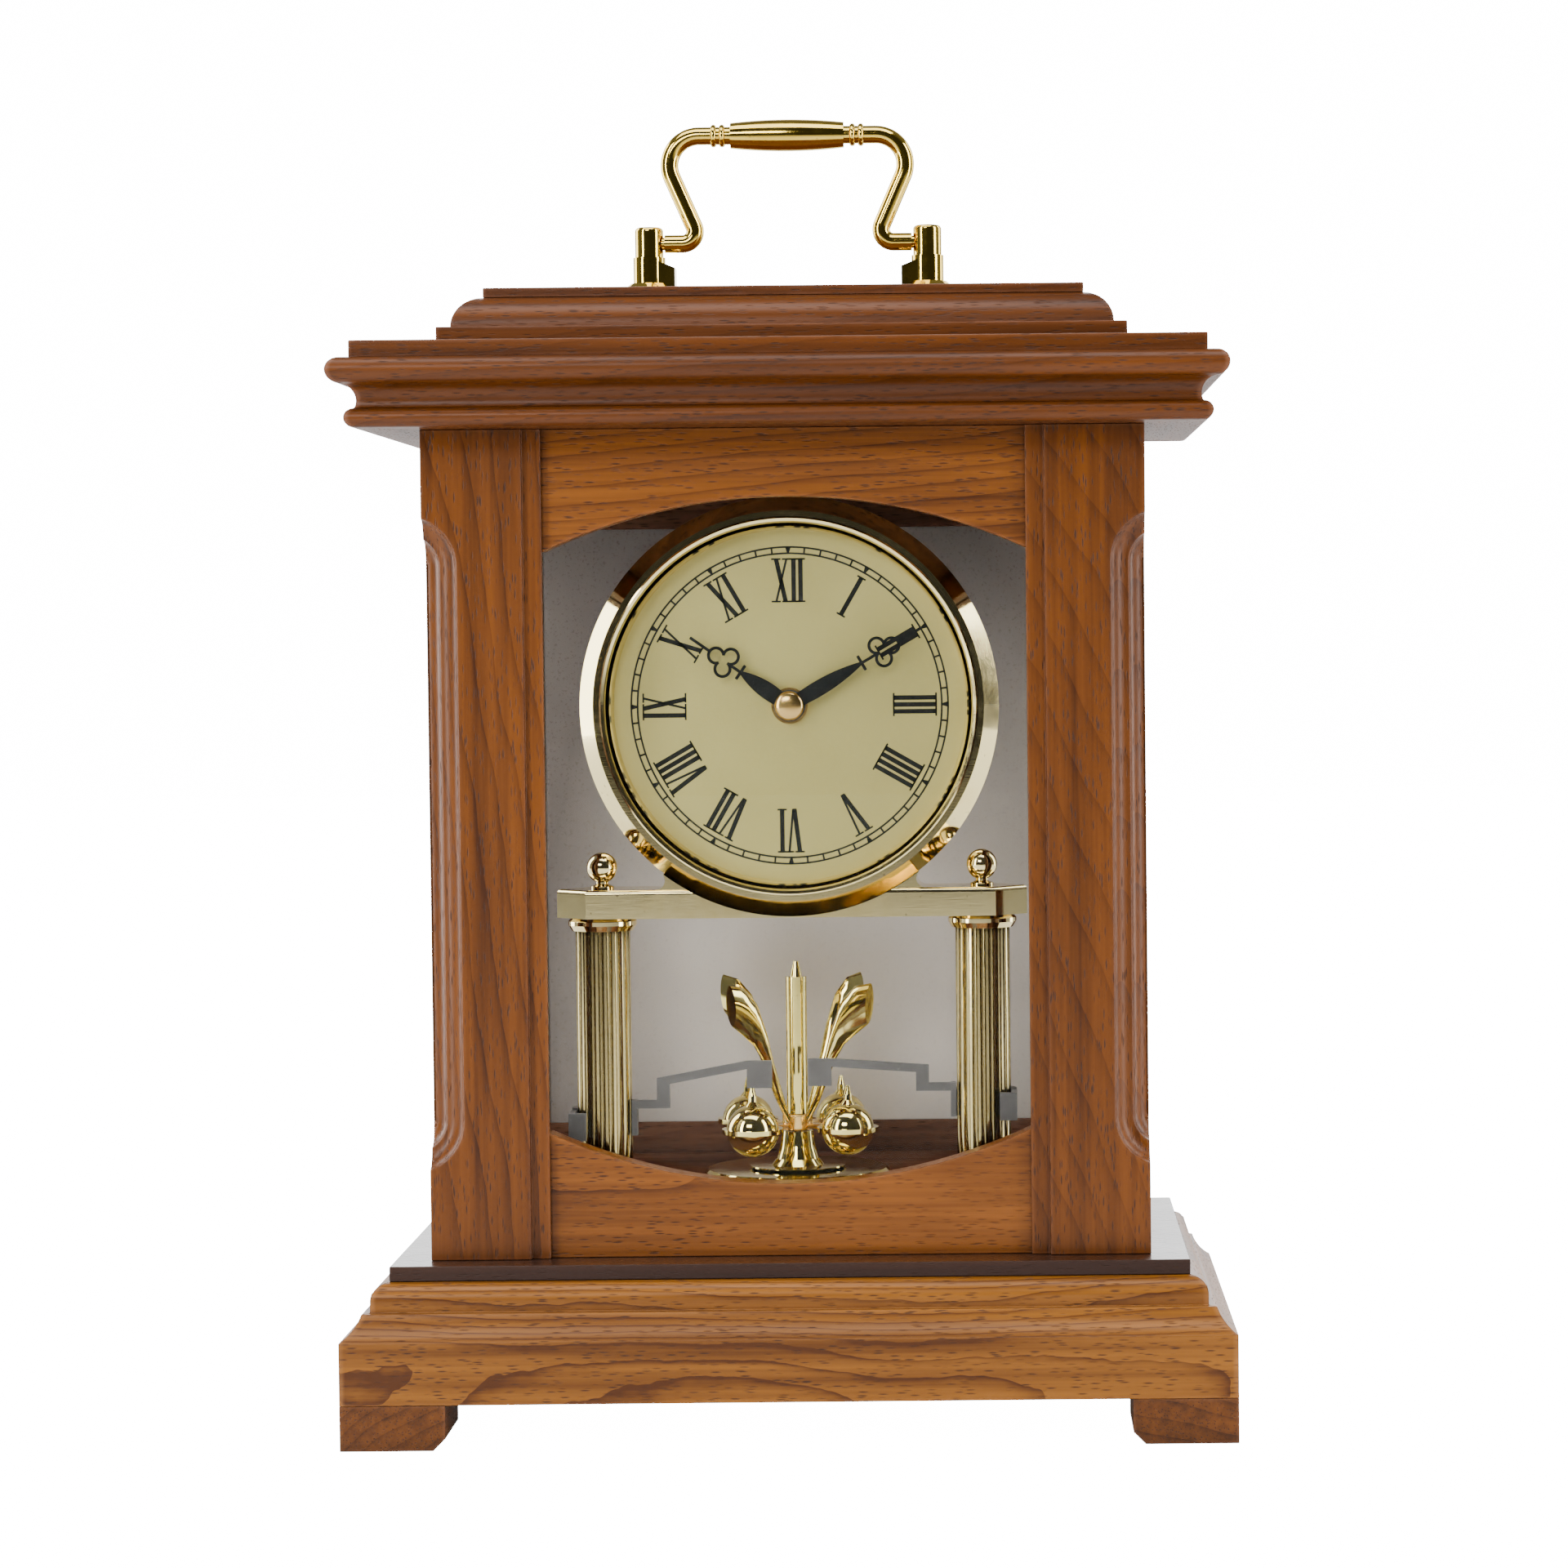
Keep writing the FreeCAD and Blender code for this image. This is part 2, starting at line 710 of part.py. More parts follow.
def save_handle():
    post = handle_post()
    save("handle_posts", post, mirrored(post))
    grip_z = cap_top + handle_grip_height
    half = handle_grip_length / 2
    bulge = handle_grip_middle_radius - handle_grip_end_radius
    core = rod(-half, 0, grip_z, handle_arm_radius - 0.3, handle_grip_length, X_AXIS)
    arm = handle_arm()
    bail = arm.fuse([mirrored(arm), core])
    for x in (-half - 4.4, -half - 2.2, half + 2.2, half + 4.4):
        bail = bail.fuse(Part.makeTorus(handle_arm_radius - 0.1, 0.75, V(x, 0, grip_z), X_AXIS))
    save("handle_bail", bail.removeSplitter())
    edges = [line((-half, 0, grip_z), (-half, 0, grip_z + handle_grip_end_radius)),
             arc((-half, 0, grip_z + handle_grip_end_radius),
                 (0, 0, grip_z + handle_grip_end_radius + bulge),
                 (half, 0, grip_z + handle_grip_end_radius)),
             line((half, 0, grip_z + handle_grip_end_radius), (half, 0, grip_z)),
             line((half, 0, grip_z), (-half, 0, grip_z))]
    sleeve = Part.Face(Part.Wire(edges)).revolve(V(0, 0, grip_z), X_AXIS, 360)
    save("handle_grip", sleeve.cut(core))


# Clock head

def save_head():
    front = -head_front
    shoulder = front + drum_shoulder
    back = front + drum_depth
    inner = drum_radius - drum_wall
    shell = turned_on_dial([(lip_radius + 0.1, front + 0.8), (drum_radius, shoulder),
                            (drum_radius, back), (inner, back), (inner, shoulder + 0.6),
                            (lip_radius - 1.4, front + 2.2), (lip_radius - 1.4, front + 0.8)])
    rear = turned_on_dial([(movement_size * 0.75, back - 1.5), (inner, back - 1.5),
                           (inner, back), (movement_size * 0.75, back)])
    save("drum", shell.fuse(rear).removeSplitter())
    seat = dial_front
    glass = front + dial_glass_recess
    glass_edge = dial_opening_radius + dial_glass_overlap
    save("bezel", turned_on_dial([
        (lip_radius - 1.5, front + 0.2), (lip_radius - 1.9, front), (lip_radius - 2.6, front + 0.3),
        (glass_edge, glass - 0.4), (glass_edge, glass + dial_glass_thickness),
        (dial_opening_radius + 0.8, glass + dial_glass_thickness),
        (dial_opening_radius + 0.4, glass + dial_glass_thickness + 0.6),
        (dial_opening_radius, seat),
        (lip_radius - 1.5, seat)]))
    save("dial_glass", rod(0, glass, head_z, glass_edge, dial_glass_thickness, Y_AXIS))
    hole = rod(0, dial_front, head_z, bush_radius, dial_thickness, Y_AXIS)
    dial = rod(0, dial_front, head_z, inner - 0.3, dial_thickness, Y_AXIS)
    save("dial_plate", dial.cut(hole))
    reach = dial_opening_radius
    save("hour_hand", hand(hour_hand_front, hour_hand_length_share * reach, hour_hand_leaf,
                           hour_hand_bar_share * reach, hour_hand_trefoil_share * reach,
                           hour_pipe_radius, hour_hand_angle))
    save("minute_hand", hand(minute_hand_front, minute_hand_length_share * reach,
                             minute_hand_leaf, minute_hand_bar_share * reach,
                             minute_hand_trefoil_share * reach, shaft_radius,
                             minute_hand_angle))
    cap_back = minute_hand_front
    cap = Part.makeSphere(hand_cap_radius, V(0, 0, 0), Y_AXIS)
    cap = cap.common(block(-5, 5, -5, 0, -5, 5))
    squash = FreeCAD.Matrix()
    squash.scale(V(1, hand_cap_dome / hand_cap_radius, 1))
    cap = cap.transformGeometry(squash)
    cap.translate(V(0, cap_back, head_z))
    save("hand_cap", cap)
    save("fixing_nut", tube(0, dial_front - 1.2, head_z, fixing_nut_radius, bush_radius, 1.2, Y_AXIS))


def hand(front, length, leaf, bar, trefoil, bore, angle):
    """A pierced hand: a leaf, a cross bar, a hollow trefoil and a thin point."""
    half = hand_line / 2
    thick = V(0, hand_thickness, 0)
    neck = hand_neck
    blade = outline([line((-neck, 0, 0), (neck, 0, 0)),
                     arc((neck, 0, 0), (leaf, 0, bar * 0.56), (half, 0, bar)),
                     line((half, 0, bar), (-half, 0, bar)),
                     arc((-half, 0, bar), (-leaf, 0, bar * 0.56), (-neck, 0, 0))], thick)
    inner_lobe = trefoil_lobe_radius - hand_line
    lobe_orbit = trefoil_lobe_radius * 0.95
    outer = None
    holes = []
    for lobe_angle in (0, 120, 240):
        x = lobe_orbit * math.sin(math.radians(lobe_angle))
        z = trefoil + lobe_orbit * math.cos(math.radians(lobe_angle))
        lobe = rod(x, 0, z, trefoil_lobe_radius, hand_thickness, Y_AXIS)
        outer = lobe if outer is None else outer.fuse(lobe)
        holes.append(rod(x, 0, z, inner_lobe, hand_thickness, Y_AXIS))
    for hole in holes:
        outer = outer.cut(hole)
    outer = outer.cut(rod(0, 0, trefoil, inner_lobe * 0.8, hand_thickness, Y_AXIS))
    low_edge = trefoil - lobe_orbit
    high_edge = trefoil + lobe_orbit + trefoil_lobe_radius - half
    pieces = [block(-half, half, 0, hand_thickness, bar, low_edge),
              block(-half, half, 0, hand_thickness, high_edge, length),
              block(-hand_bar_half_length, hand_bar_half_length, 0, hand_thickness,
                    bar - half, bar + half),
              outer, rod(0, 0, 0, hand_boss_radius, hand_thickness, Y_AXIS)]
    solid = blade.fuse(pieces).cut(rod(0, 0, 0, bore, hand_thickness, Y_AXIS)).removeSplitter()
    solid.rotate(V(0, 0, 0), Y_AXIS, angle)
    solid.translate(V(0, front, head_z))
    return solid


# Movement

def gear(teeth, module, y, bore, phase=0.0):
    """A spur gear about the dial's direction, with straight-sided teeth and backlash."""
    pitch_radius = module * teeth / 2
    tip = pitch_radius + 0.8 * module
    root = pitch_radius - 1.1 * module
    step = 2 * math.pi / teeth
    points = []
    for index in range(teeth):
        centre = (index + phase) * step
        for radius, share in ((root, -0.27), (tip, -0.12), (tip, 0.12), (root, 0.27)):
            angle = centre + share * step
            points.append((radius * math.sin(angle), y, radius * math.cos(angle)))
    disc = polygon(points, V(0, gear_thickness, 0))
    return disc.cut(rod(0, y, 0, bore, gear_thickness, Y_AXIS))


def save_movement():
    back = movement_back
    half = movement_size / 2
    wall_in = movement_wall
    body = block(-half, half, dial_back, back - wall_in, head_z - half, head_z + half)
    cavity = block(-half + wall_in, half - wall_in, dial_back + wall_in, back - wall_in,
                   head_z - half + wall_in, head_z + half - wall_in)
    bush = rod(0, dial_front - 1.2, head_z, bush_radius, 1.2 + dial_thickness + wall_in, Y_AXIS)
    bore = rod(0, dial_front - 1.2, head_z, hour_pipe_radius + gear_bore_clearance,
               1.2 + dial_thickness + wall_in, Y_AXIS)
    save("movement_case", body.cut(cavity).fuse(bush).cut(bore).removeSplitter())
    cover = block(-half, half, back - wall_in, back, head_z - half, head_z + half)
    knob_z = head_z + minute_wheel_offset
    cover = cover.cut(rod(0, back - wall_in, knob_z, shaft_radius + gear_bore_clearance,
                          wall_in, Y_AXIS))
    centre_cup = rod(0, back - wall_in - 1.5, head_z, 2.0, 1.5, Y_AXIS)
    centre_bore = rod(0, back - wall_in - 1.5, head_z, shaft_radius + gear_bore_clearance,
                      1.2, Y_AXIS)
    save("movement_cover", cover.fuse(centre_cup).cut(centre_bore).removeSplitter())

    wheel_y = dial_back + movement_wall + 1.0
    cannon_y = wheel_y + gear_thickness + 1.0
    shaft_front = minute_hand_front
    shaft_back = back - wall_in - 0.5
    shaft = rod(0, shaft_front, 0, shaft_radius, shaft_back - shaft_front, Y_AXIS)
    bore = shaft_radius * 0.6
    pinion = gear(cannon_teeth, gear_module, cannon_y, bore).fuse(shaft)
    pinion.translate(V(0, 0, head_z))
    save("centre_wheel", pinion.removeSplitter())
    pipe_front = hour_hand_front
    pipe = rod(0, pipe_front, 0, hour_pipe_radius, wheel_y + gear_thickness - pipe_front, Y_AXIS)
    hour = gear(hour_wheel_teeth, hour_module, wheel_y, bore).fuse(pipe)
    hour = hour.cut(rod(0, pipe_front, 0, shaft_radius + gear_bore_clearance,
                        wheel_y + gear_thickness - pipe_front, Y_AXIS))
    hour.translate(V(0, 0, head_z))
    save("hour_wheel", hour.removeSplitter())
    knob_front = wheel_y - 0.5
    knob_back = back + 0.8
    setting = rod(0, knob_front, 0, shaft_radius, knob_back + 3.0 - knob_front, Y_AXIS)
    setting = setting.fuse([gear(minute_wheel_teeth, gear_module, cannon_y, bore, 0.5),
                            gear(minute_pinion_teeth, hour_module, wheel_y, bore, 0.5),
                            rod(0, knob_back, 0, set_knob_radius, 3.0, Y_AXIS)])
    setting.translate(V(0, 0, knob_z))
    save("set_knob", setting.removeSplitter())


def save_power():
    """The dry cells and the coils: one of each in the movement, one of each in the drive."""
    cells = []
    for y, z in ((dial_back + movement_depth / 2, head_z - movement_size / 2 + 8.8),
                 (pendulum_y, floor_bottom - drive_housing_depth + 8.9)):
        cell = rod(-battery_length / 2, y, z, battery_radius, battery_length - 1.0, X_AXIS)
        nub = rod(battery_length / 2 - 1.0, y, z, battery_radius * 0.38, 1.0, X_AXIS)
        cells.append(cell.fuse(nub))
    save("batteries", *cells)
    coil = turned([(1.5, 0), (coil_radius, 0), (coil_radius, 0.8), (coil_radius - 0.7, 0.8),
                   (coil_radius - 0.7, coil_length - 0.8), (coil_radius, coil_length - 0.8),
                   (coil_radius, coil_length), (1.5, coil_length)], 0, 0, 0)
    motor_coil = coil.copy()
    motor_coil.translate(V(-movement_size / 2 + coil_radius + 3.0, dial_back + movement_depth / 2,
                           head_z + movement_size / 2 - coil_length - 4.0))
    drive_coil = coil.copy()
    drive_coil.translate(V(0, pendulum_y, coil_top - coil_length))
    save("coils", motor_coil, drive_coil)


# Bridge and columns

def save_bridge():
    half = beam_length / 2
    front = column_y - beam_depth / 2
    back = column_y + beam_depth / 2
    c = beam_chamfer
    beam = polygon([(-half + c, front, beam_bottom), (half - c, front, beam_bottom),
                    (half, front + c, beam_bottom), (half, back - c, beam_bottom),
                    (half - c, back, beam_bottom), (-half + c, back, beam_bottom),
                    (-half, back - c, beam_bottom), (-half, front + c, beam_bottom)],
                   V(0, 0, beam_height))
    beam = beam.makeFillet(beam_fillet, [edge for edge in beam.Edges
                                         if edge.BoundBox.ZMin > beam_top - 0.1])
    saddle_top = beam_top + saddle_rise
    drum_half = math.sqrt(drum_radius ** 2 - (head_z - saddle_top) ** 2)
    saddle = outline([line((-saddle_half_width - 2, front + 1.0, beam_top - 1),
                           (saddle_half_width + 2, front + 1.0, beam_top - 1)),
                      line((saddle_half_width + 2, front + 1.0, beam_top - 1),
                           (saddle_half_width + 2, front + 1.0, beam_top)),
                      arc((saddle_half_width + 2, front + 1.0, beam_top),
                          (saddle_half_width + 0.4, front + 1.0, beam_top + 0.7),
                          (drum_half + 0.2, front + 1.0, saddle_top)),
                      line((drum_half + 0.2, front + 1.0, saddle_top),
                           (-drum_half - 0.2, front + 1.0, saddle_top)),
                      arc((-drum_half - 0.2, front + 1.0, saddle_top),
                          (-saddle_half_width - 0.4, front + 1.0, beam_top + 0.7),
                          (-saddle_half_width - 2, front + 1.0, beam_top)),
                      line((-saddle_half_width - 2, front + 1.0, beam_top),
                           (-saddle_half_width - 2, front + 1.0, beam_top - 1))],
                     V(0, beam_depth - 2.0, 0))
    bridge = beam.fuse(saddle)
    bridge = bridge.cut(rod(0, -60, head_z, drum_radius, 120, Y_AXIS))
    for sign in (-1, 1):
        bridge = bridge.cut(rod(sign * column_x, column_y, beam_bottom, tie_rod_radius + 0.2,
                                beam_height))
    save("bridge", bridge.removeSplitter())


def column():
    low = floor_top + collar_height
    length = beam_bottom - collar_height - low
    shaft = tube(-column_x, column_y, low, column_radius, column_bore_radius, length)
    for index in range(flute_count):
        angle = 2 * math.pi * index / flute_count
        shaft = shaft.cut(rod(-column_x + column_radius * math.sin(angle),
                              column_y + column_radius * math.cos(angle), low,
                              flute_radius, length))
    return shaft


def save_columns():
    shaft = column()
    save("columns", shaft, mirrored(shaft))
    hole = tie_rod_radius + 0.2
    profile = [(hole, 0), (collar_radius - 0.9, 0), (collar_radius, 0.9), (collar_radius, 1.9),
               (collar_radius - 0.9, collar_height), (hole, collar_height)]
    collars = []
    rods = []
    finials = []
    rod_bottom = floor_bottom - tie_nut_height - 2.0
    ball_z = beam_top + finial_neck_height + finial_radius - 0.6
    for sign in (-1, 1):
        x = sign * column_x
        collars.append(turned(profile, x, column_y, floor_top))
        flipped = turned(profile, x, column_y, 0).mirror(V(0, 0, 0), Z_AXIS)
        flipped.translate(V(0, 0, beam_bottom))
        collars.append(flipped)
        rods.append(rod(x, column_y, rod_bottom, tie_rod_radius, ball_z - rod_bottom))
        corners = [(x + tie_nut_width / math.sqrt(3) * math.cos(math.radians(60 * k)),
                    column_y + tie_nut_width / math.sqrt(3) * math.sin(math.radians(60 * k)),
                    floor_bottom - tie_nut_height) for k in range(6)]
        nut = polygon(corners, V(0, 0, tie_nut_height))
        rods.append(nut.cut(rod(x, column_y, floor_bottom - tie_nut_height, tie_rod_radius,
                                tie_nut_height)))
        neck = turned([(0, 0), (finial_radius * 0.75, 0), (finial_radius * 0.75, 0.6),
                       (finial_radius * 0.4, 1.2), (finial_radius * 0.4, ball_z - beam_top),
                       (0, ball_z - beam_top)], x, column_y, beam_top)
        ball = Part.makeSphere(finial_radius, V(x, column_y, ball_z))
        finials.append(neck.fuse(ball).cut(rod(x, column_y, beam_top, tie_rod_radius,
                                               ball_z - beam_top)))
    save("column_collars", *collars)
    save("tie_rods_and_nuts", *rods)
    save("finials", *finials)


# Rotary pendulum

def save_pendulum():
    bearing = bearing_radius + bearing_clearance
    hub_z = floor_top + hub_low
    disc = turned([(bearing, 2.0), (bearing, hub_low - 0.3), (hub_radius + 0.1, hub_low - 0.3),
                   (hub_radius + 0.6, 7.0), (5.6, 3.6), (6.9, 2.0), (12.6, 2.0), (12.6, 1.7),
                   (11.6, disc_thickness), (disc_radius - 0.8, disc_thickness),
                   (disc_radius, 0.4), (disc_radius, 0), (0, 0), (0, 2.0)],
                  0, pendulum_y, floor_top)
    save("pendulum_disc", disc)
    hub = rod(0, pendulum_y, hub_z, hub_radius, hub_height)
    hub = hub.makeFillet(0.5, hub.Edges)
    hub = hub.fuse(rod(0, pendulum_y, floor_top + 2.3, bearing_radius, hub_low + 1))
    arm_length = ball_orbit - ball_ring_radius
    arm_z = floor_top + ball_height - 0.6
    arms = [turn(block(0, arm_length, -1.1, 1.1, arm_z, arm_z + 1.2), index)
            for index in range(ball_count)]
    save("pendulum_hub", hub.fuse(arms).removeSplitter())
    stem_z = hub_z + hub_height
    stem_top = floor_top + stem_height
    stem = rod(0, pendulum_y, stem_z, stem_radius, stem_top - stem_z)
    tip = Part.makeCone(1.6, 0.7, stem_tip_height, V(0, pendulum_y, stem_top))
    save("pendulum_stem", stem.fuse(tip).removeSplitter())
    balls = []
    petals = []
    centre_z = floor_top + ball_height
    for index in range(ball_count):
        ball = Part.makeSphere(ball_radius, V(ball_orbit, 0, centre_z))
        ring = turned([(0, -0.6), (ball_ring_radius, -0.6), (ball_ring_radius, 0.6), (0, 0.6)],
                      ball_orbit, 0, centre_z)
        point = turned([(0, ball_radius - 1.0), (2.6, ball_radius - 1.0), (1.1, ball_radius + 0.8),
                        (1.0, ball_radius + 2.2), (0.45, ball_tip_height), (0, ball_tip_height)],
                       ball_orbit, 0, centre_z)
        balls.append(turn(ball.fuse([ring, point]).removeSplitter(), index))
        petals.append(turn(petal(), index))
    save("pendulum_balls", *balls)
    save("pendulum_petals", *petals)


def turn(solid, index):
    """A copy set at its place round the pendulum's spindle."""
    solid = solid.copy()
    solid.rotate(V(0, 0, 0), Z_AXIS, ball_first_angle + index * 360 / ball_count)
    solid.translate(V(0, pendulum_y, 0))
    return solid


def petal():
    """One upright petal, a blade in a plane through the spindle, cut off aslant."""
    z = floor_top
    back = Part.BSplineCurve()
    back.interpolate([V(2.6, 0, z + 14.2), V(10.1, 0, z + 30.9), V(15.7, 0, z + 45.4),
                      V(25.6, 0, z + 50.3)])
    belly = Part.BSplineCurve()
    belly.interpolate([V(24.6, 0, z + 39.5), V(16.3, 0, z + 33.9), V(11.5, 0, z + 26.5),
                       V(2.6, 0, z + 12.0)])
    half = petal_thickness / 2
    blade = outline([back.toShape(), line((25.6, 0, z + 50.3), (24.6, 0, z + 39.5)),
                     belly.toShape(), line((2.6, 0, z + 12.0), (2.6, 0, z + 14.2))],
                    V(0, petal_thickness, 0))
    blade.translate(V(0, -half, 0))
    return blade.cut(rod(0, 0, floor_top, hub_radius, 60))


# Drive unit under the floor

def save_drive():
    half = drive_housing_size / 2
    top = floor_bottom
    bottom = top - drive_housing_depth
    w = drive_housing_wall
    housing = block(-half, half, pendulum_y - half, pendulum_y + half, bottom, top)
    cavity = block(-half + w, half - w, pendulum_y - half + w, pendulum_y + half - w,
                   bottom + w, top - w)
    save("drive_housing", housing.cut(cavity))


# Transit clips

def between(x_a, x_b, y0, y1, z0, z1):
    return block(min(x_a, x_b), max(x_a, x_b), y0, y1, z0, z1)


def clip(side, sizes):
    """A grey clip that hugs the back of a column and reaches in beside the stem."""
    low, shelf, tab, step, arm = [floor_top + sizes[key]
                                  for key in ("low", "shelf", "tab", "step", "arm")]
    step_x = sizes["step_x"]
    end_x = sizes["end_x"]
    x = side * column_x
    t = clip_thickness
    inner = column_radius + clip_gap
    outer = inner + t
    y = column_y - clip_plane
    tab_y = column_y - clip_tab_reach
    inside = x - side * outer
    outside = x + side * inner
    ring = tube(x, column_y, low, outer, inner, clip_height)
    ring = ring.cut(block(x - 2 * outer, x + 2 * outer, column_y - 2 * outer, y,
                          low, low + clip_height))
    pieces = [
        between(inside, step_x, y - t, y, shelf - clip_bar_height, shelf),
        between(inside, inside + side * t, y - t, column_y, low, shelf),
        between(step_x, step_x - side * clip_step_width, y - t, y,
                shelf - clip_bar_height, step),
        polygon([(step_x, y - t, step - clip_bar_height), (end_x, y - t, arm - clip_bar_height),
                 (end_x, y - t, arm), (step_x, y - t, step)], V(0, t, 0)),
        between(end_x, sizes["tab_x"], y - t, y, arm - clip_height, arm),
        between(outside, outside + side * t, tab_y, column_y, tab, tab + clip_height),
        between(outside + side * t, outside - side * clip_tab_width, tab_y - t, tab_y,
                tab, tab + clip_height)]
    return ring.fuse(pieces).removeSplitter()


os.makedirs("parts", exist_ok=True)
save_lengths("plinth_rail", mitred_lengths(base_section(), half_width, half_depth))
save("feet", *[foot(sign_x, sign_y) for sign_x in (-1, 1) for sign_y in (-1, 1)])
save("plinth_board", plinth_board())
save_case()
save_door()
save_hinges()
save_cornice()
save_handle()
save_head()
save_movement()
save_power()
save_bridge()
save_columns()
save_pendulum()
save_drive()
save("transit_clips", clip(-1, clip_left), clip(1, clip_right))
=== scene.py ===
import math
import bmesh
import bpy
from mathutils import Matrix, Vector


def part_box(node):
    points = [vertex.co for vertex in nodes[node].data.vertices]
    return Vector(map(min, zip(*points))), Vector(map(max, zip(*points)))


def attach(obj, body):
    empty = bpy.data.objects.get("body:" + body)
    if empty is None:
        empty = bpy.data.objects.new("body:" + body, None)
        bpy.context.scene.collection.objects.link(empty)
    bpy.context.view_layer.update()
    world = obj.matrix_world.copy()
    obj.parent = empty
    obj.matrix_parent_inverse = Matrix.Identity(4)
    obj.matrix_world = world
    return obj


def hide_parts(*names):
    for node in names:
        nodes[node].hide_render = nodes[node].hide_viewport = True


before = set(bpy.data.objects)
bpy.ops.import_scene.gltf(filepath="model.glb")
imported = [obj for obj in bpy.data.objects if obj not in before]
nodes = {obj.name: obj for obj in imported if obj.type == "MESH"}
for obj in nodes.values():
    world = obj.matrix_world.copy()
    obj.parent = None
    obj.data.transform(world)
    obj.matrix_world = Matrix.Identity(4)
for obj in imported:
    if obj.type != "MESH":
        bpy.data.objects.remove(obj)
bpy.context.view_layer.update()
mm = 0.001
print("frame loaded")


def addNode(tree, kind, inputs=None, **settings):
    node = tree.nodes.new(kind)
    for key, value in settings.items():
        setattr(node, key, value)
    for key, value in (inputs or {}).items():
        feed(tree, node.inputs[key], value)
    return node


# Links a socket to another one, or sets its own value.
def feed(tree, socket, value):
    if isinstance(value, bpy.types.NodeSocket):
        tree.links.new(value, socket)
    elif socket.type == "RGBA" and len(value) == 3:
        socket.default_value = (*value, 1)
    else:
        socket.default_value = value


def calc(tree, operation, a, b, clamp=False):
    node = addNode(tree, "ShaderNodeMath", {0: a, 1: b}, operation=operation, use_clamp=clamp)
    return node.outputs[0]


# The Mix node has its numbers on inputs 2 and 3, its colours on 6 and 7 and on output 2.
def mixColor(tree, factor, a, b):
    return addNode(tree, "ShaderNodeMix", {0: factor, 6: a, 7: b}, data_type="RGBA").outputs[2]


def mixValue(tree, factor, a, b):
    return addNode(tree, "ShaderNodeMix", {0: factor, 2: a, 3: b}).outputs[0]


def ramp(tree, value, low, high, outLow=0.0, outHigh=1.0):
    node = addNode(tree, "ShaderNodeMapRange", {0: value, 1: low, 2: high, 3: outLow, 4: outHigh})
    return node.outputs[0]


def stretch(tree, vector, factors):
    return addNode(tree, "ShaderNodeVectorMath", {0: vector, 1: factors}, operation="MULTIPLY").outputs[0]


def move(tree, vector, by):
    return addNode(tree, "ShaderNodeVectorMath", {0: vector, 1: by}, operation="ADD").outputs[0]


def split(tree, vector):
    return addNode(tree, "ShaderNodeSeparateXYZ", {0: vector}).outputs


def noise(tree, vector, scale, detail=2.0, roughness=0.5, output=0):
    node = addNode(tree, "ShaderNodeTexNoise",
                   {"Vector": vector, "Scale": scale, "Detail": detail, "Roughness": roughness})
    return node.outputs[output]


def objectVector(tree, grain="Z"):
    place = addNode(tree, "ShaderNodeTexCoord").outputs["Object"]
    if grain == "Z":
        return place
    parts = split(tree, place)
    order = {"X": (1, 2, 0), "Y": (2, 0, 1)}[grain]  # brings the grain's own axis to the third place
    return addNode(tree, "ShaderNodeCombineXYZ",
                   {index: parts[source] for index, source in enumerate(order)}).outputs[0]


def newGroup(name, inputs, outputs):
    tree = bpy.data.node_groups.new(name, "ShaderNodeTree")
    for label, kind in inputs.items():
        tree.interface.new_socket(label, in_out="INPUT", socket_type="NodeSocket" + kind)
    for label, kind in outputs.items():
        tree.interface.new_socket(label, in_out="OUTPUT", socket_type="NodeSocket" + kind)
    return tree, tree.nodes.new("NodeGroupInput").outputs, tree.nodes.new("NodeGroupOutput").inputs


# The first mask lightens the proud arrises, as wear and as a painted highlight; the second darkens the
# hollows, as painted shade and dirt.
edgeWearHighlightAndShade = {"patches": 160.0, "patchEdge": (0.35, 0.65), "leastRubAndHighlight": 0.45, "rubAndHighlightEdge": (0.9, 0.35),
            "cornerReach": 6.0, "cornerEdge": (0.85, 0.2), "samples": 4}


def makeEdgeEffect():
    tree, given, result = newGroup("edgeEffect", {"Reach": "Float"}, {"RubAndHighlight": "Float", "CornerShadeAndDirt": "Float"})
    proud = addNode(tree, "ShaderNodeAmbientOcclusion", {"Distance": given["Reach"]},
                    samples=edgeWearHighlightAndShade["samples"], inside=True)
    farther = calc(tree, "MULTIPLY", given["Reach"], edgeWearHighlightAndShade["cornerReach"])
    hollow = addNode(tree, "ShaderNodeAmbientOcclusion", {"Distance": farther}, samples=edgeWearHighlightAndShade["samples"])
    patches = ramp(tree, noise(tree, objectVector(tree), edgeWearHighlightAndShade["patches"], 3.0), *edgeWearHighlightAndShade["patchEdge"])
    patches = ramp(tree, patches, 0.0, 1.0, edgeWearHighlightAndShade["leastRubAndHighlight"], 1.0)
    exposed = ramp(tree, proud.outputs["AO"], *edgeWearHighlightAndShade["rubAndHighlightEdge"])
    feed(tree, result["RubAndHighlight"], calc(tree, "MULTIPLY", exposed, patches))
    feed(tree, result["CornerShadeAndDirt"], ramp(tree, hollow.outputs["AO"], *edgeWearHighlightAndShade["cornerEdge"]))
    return tree


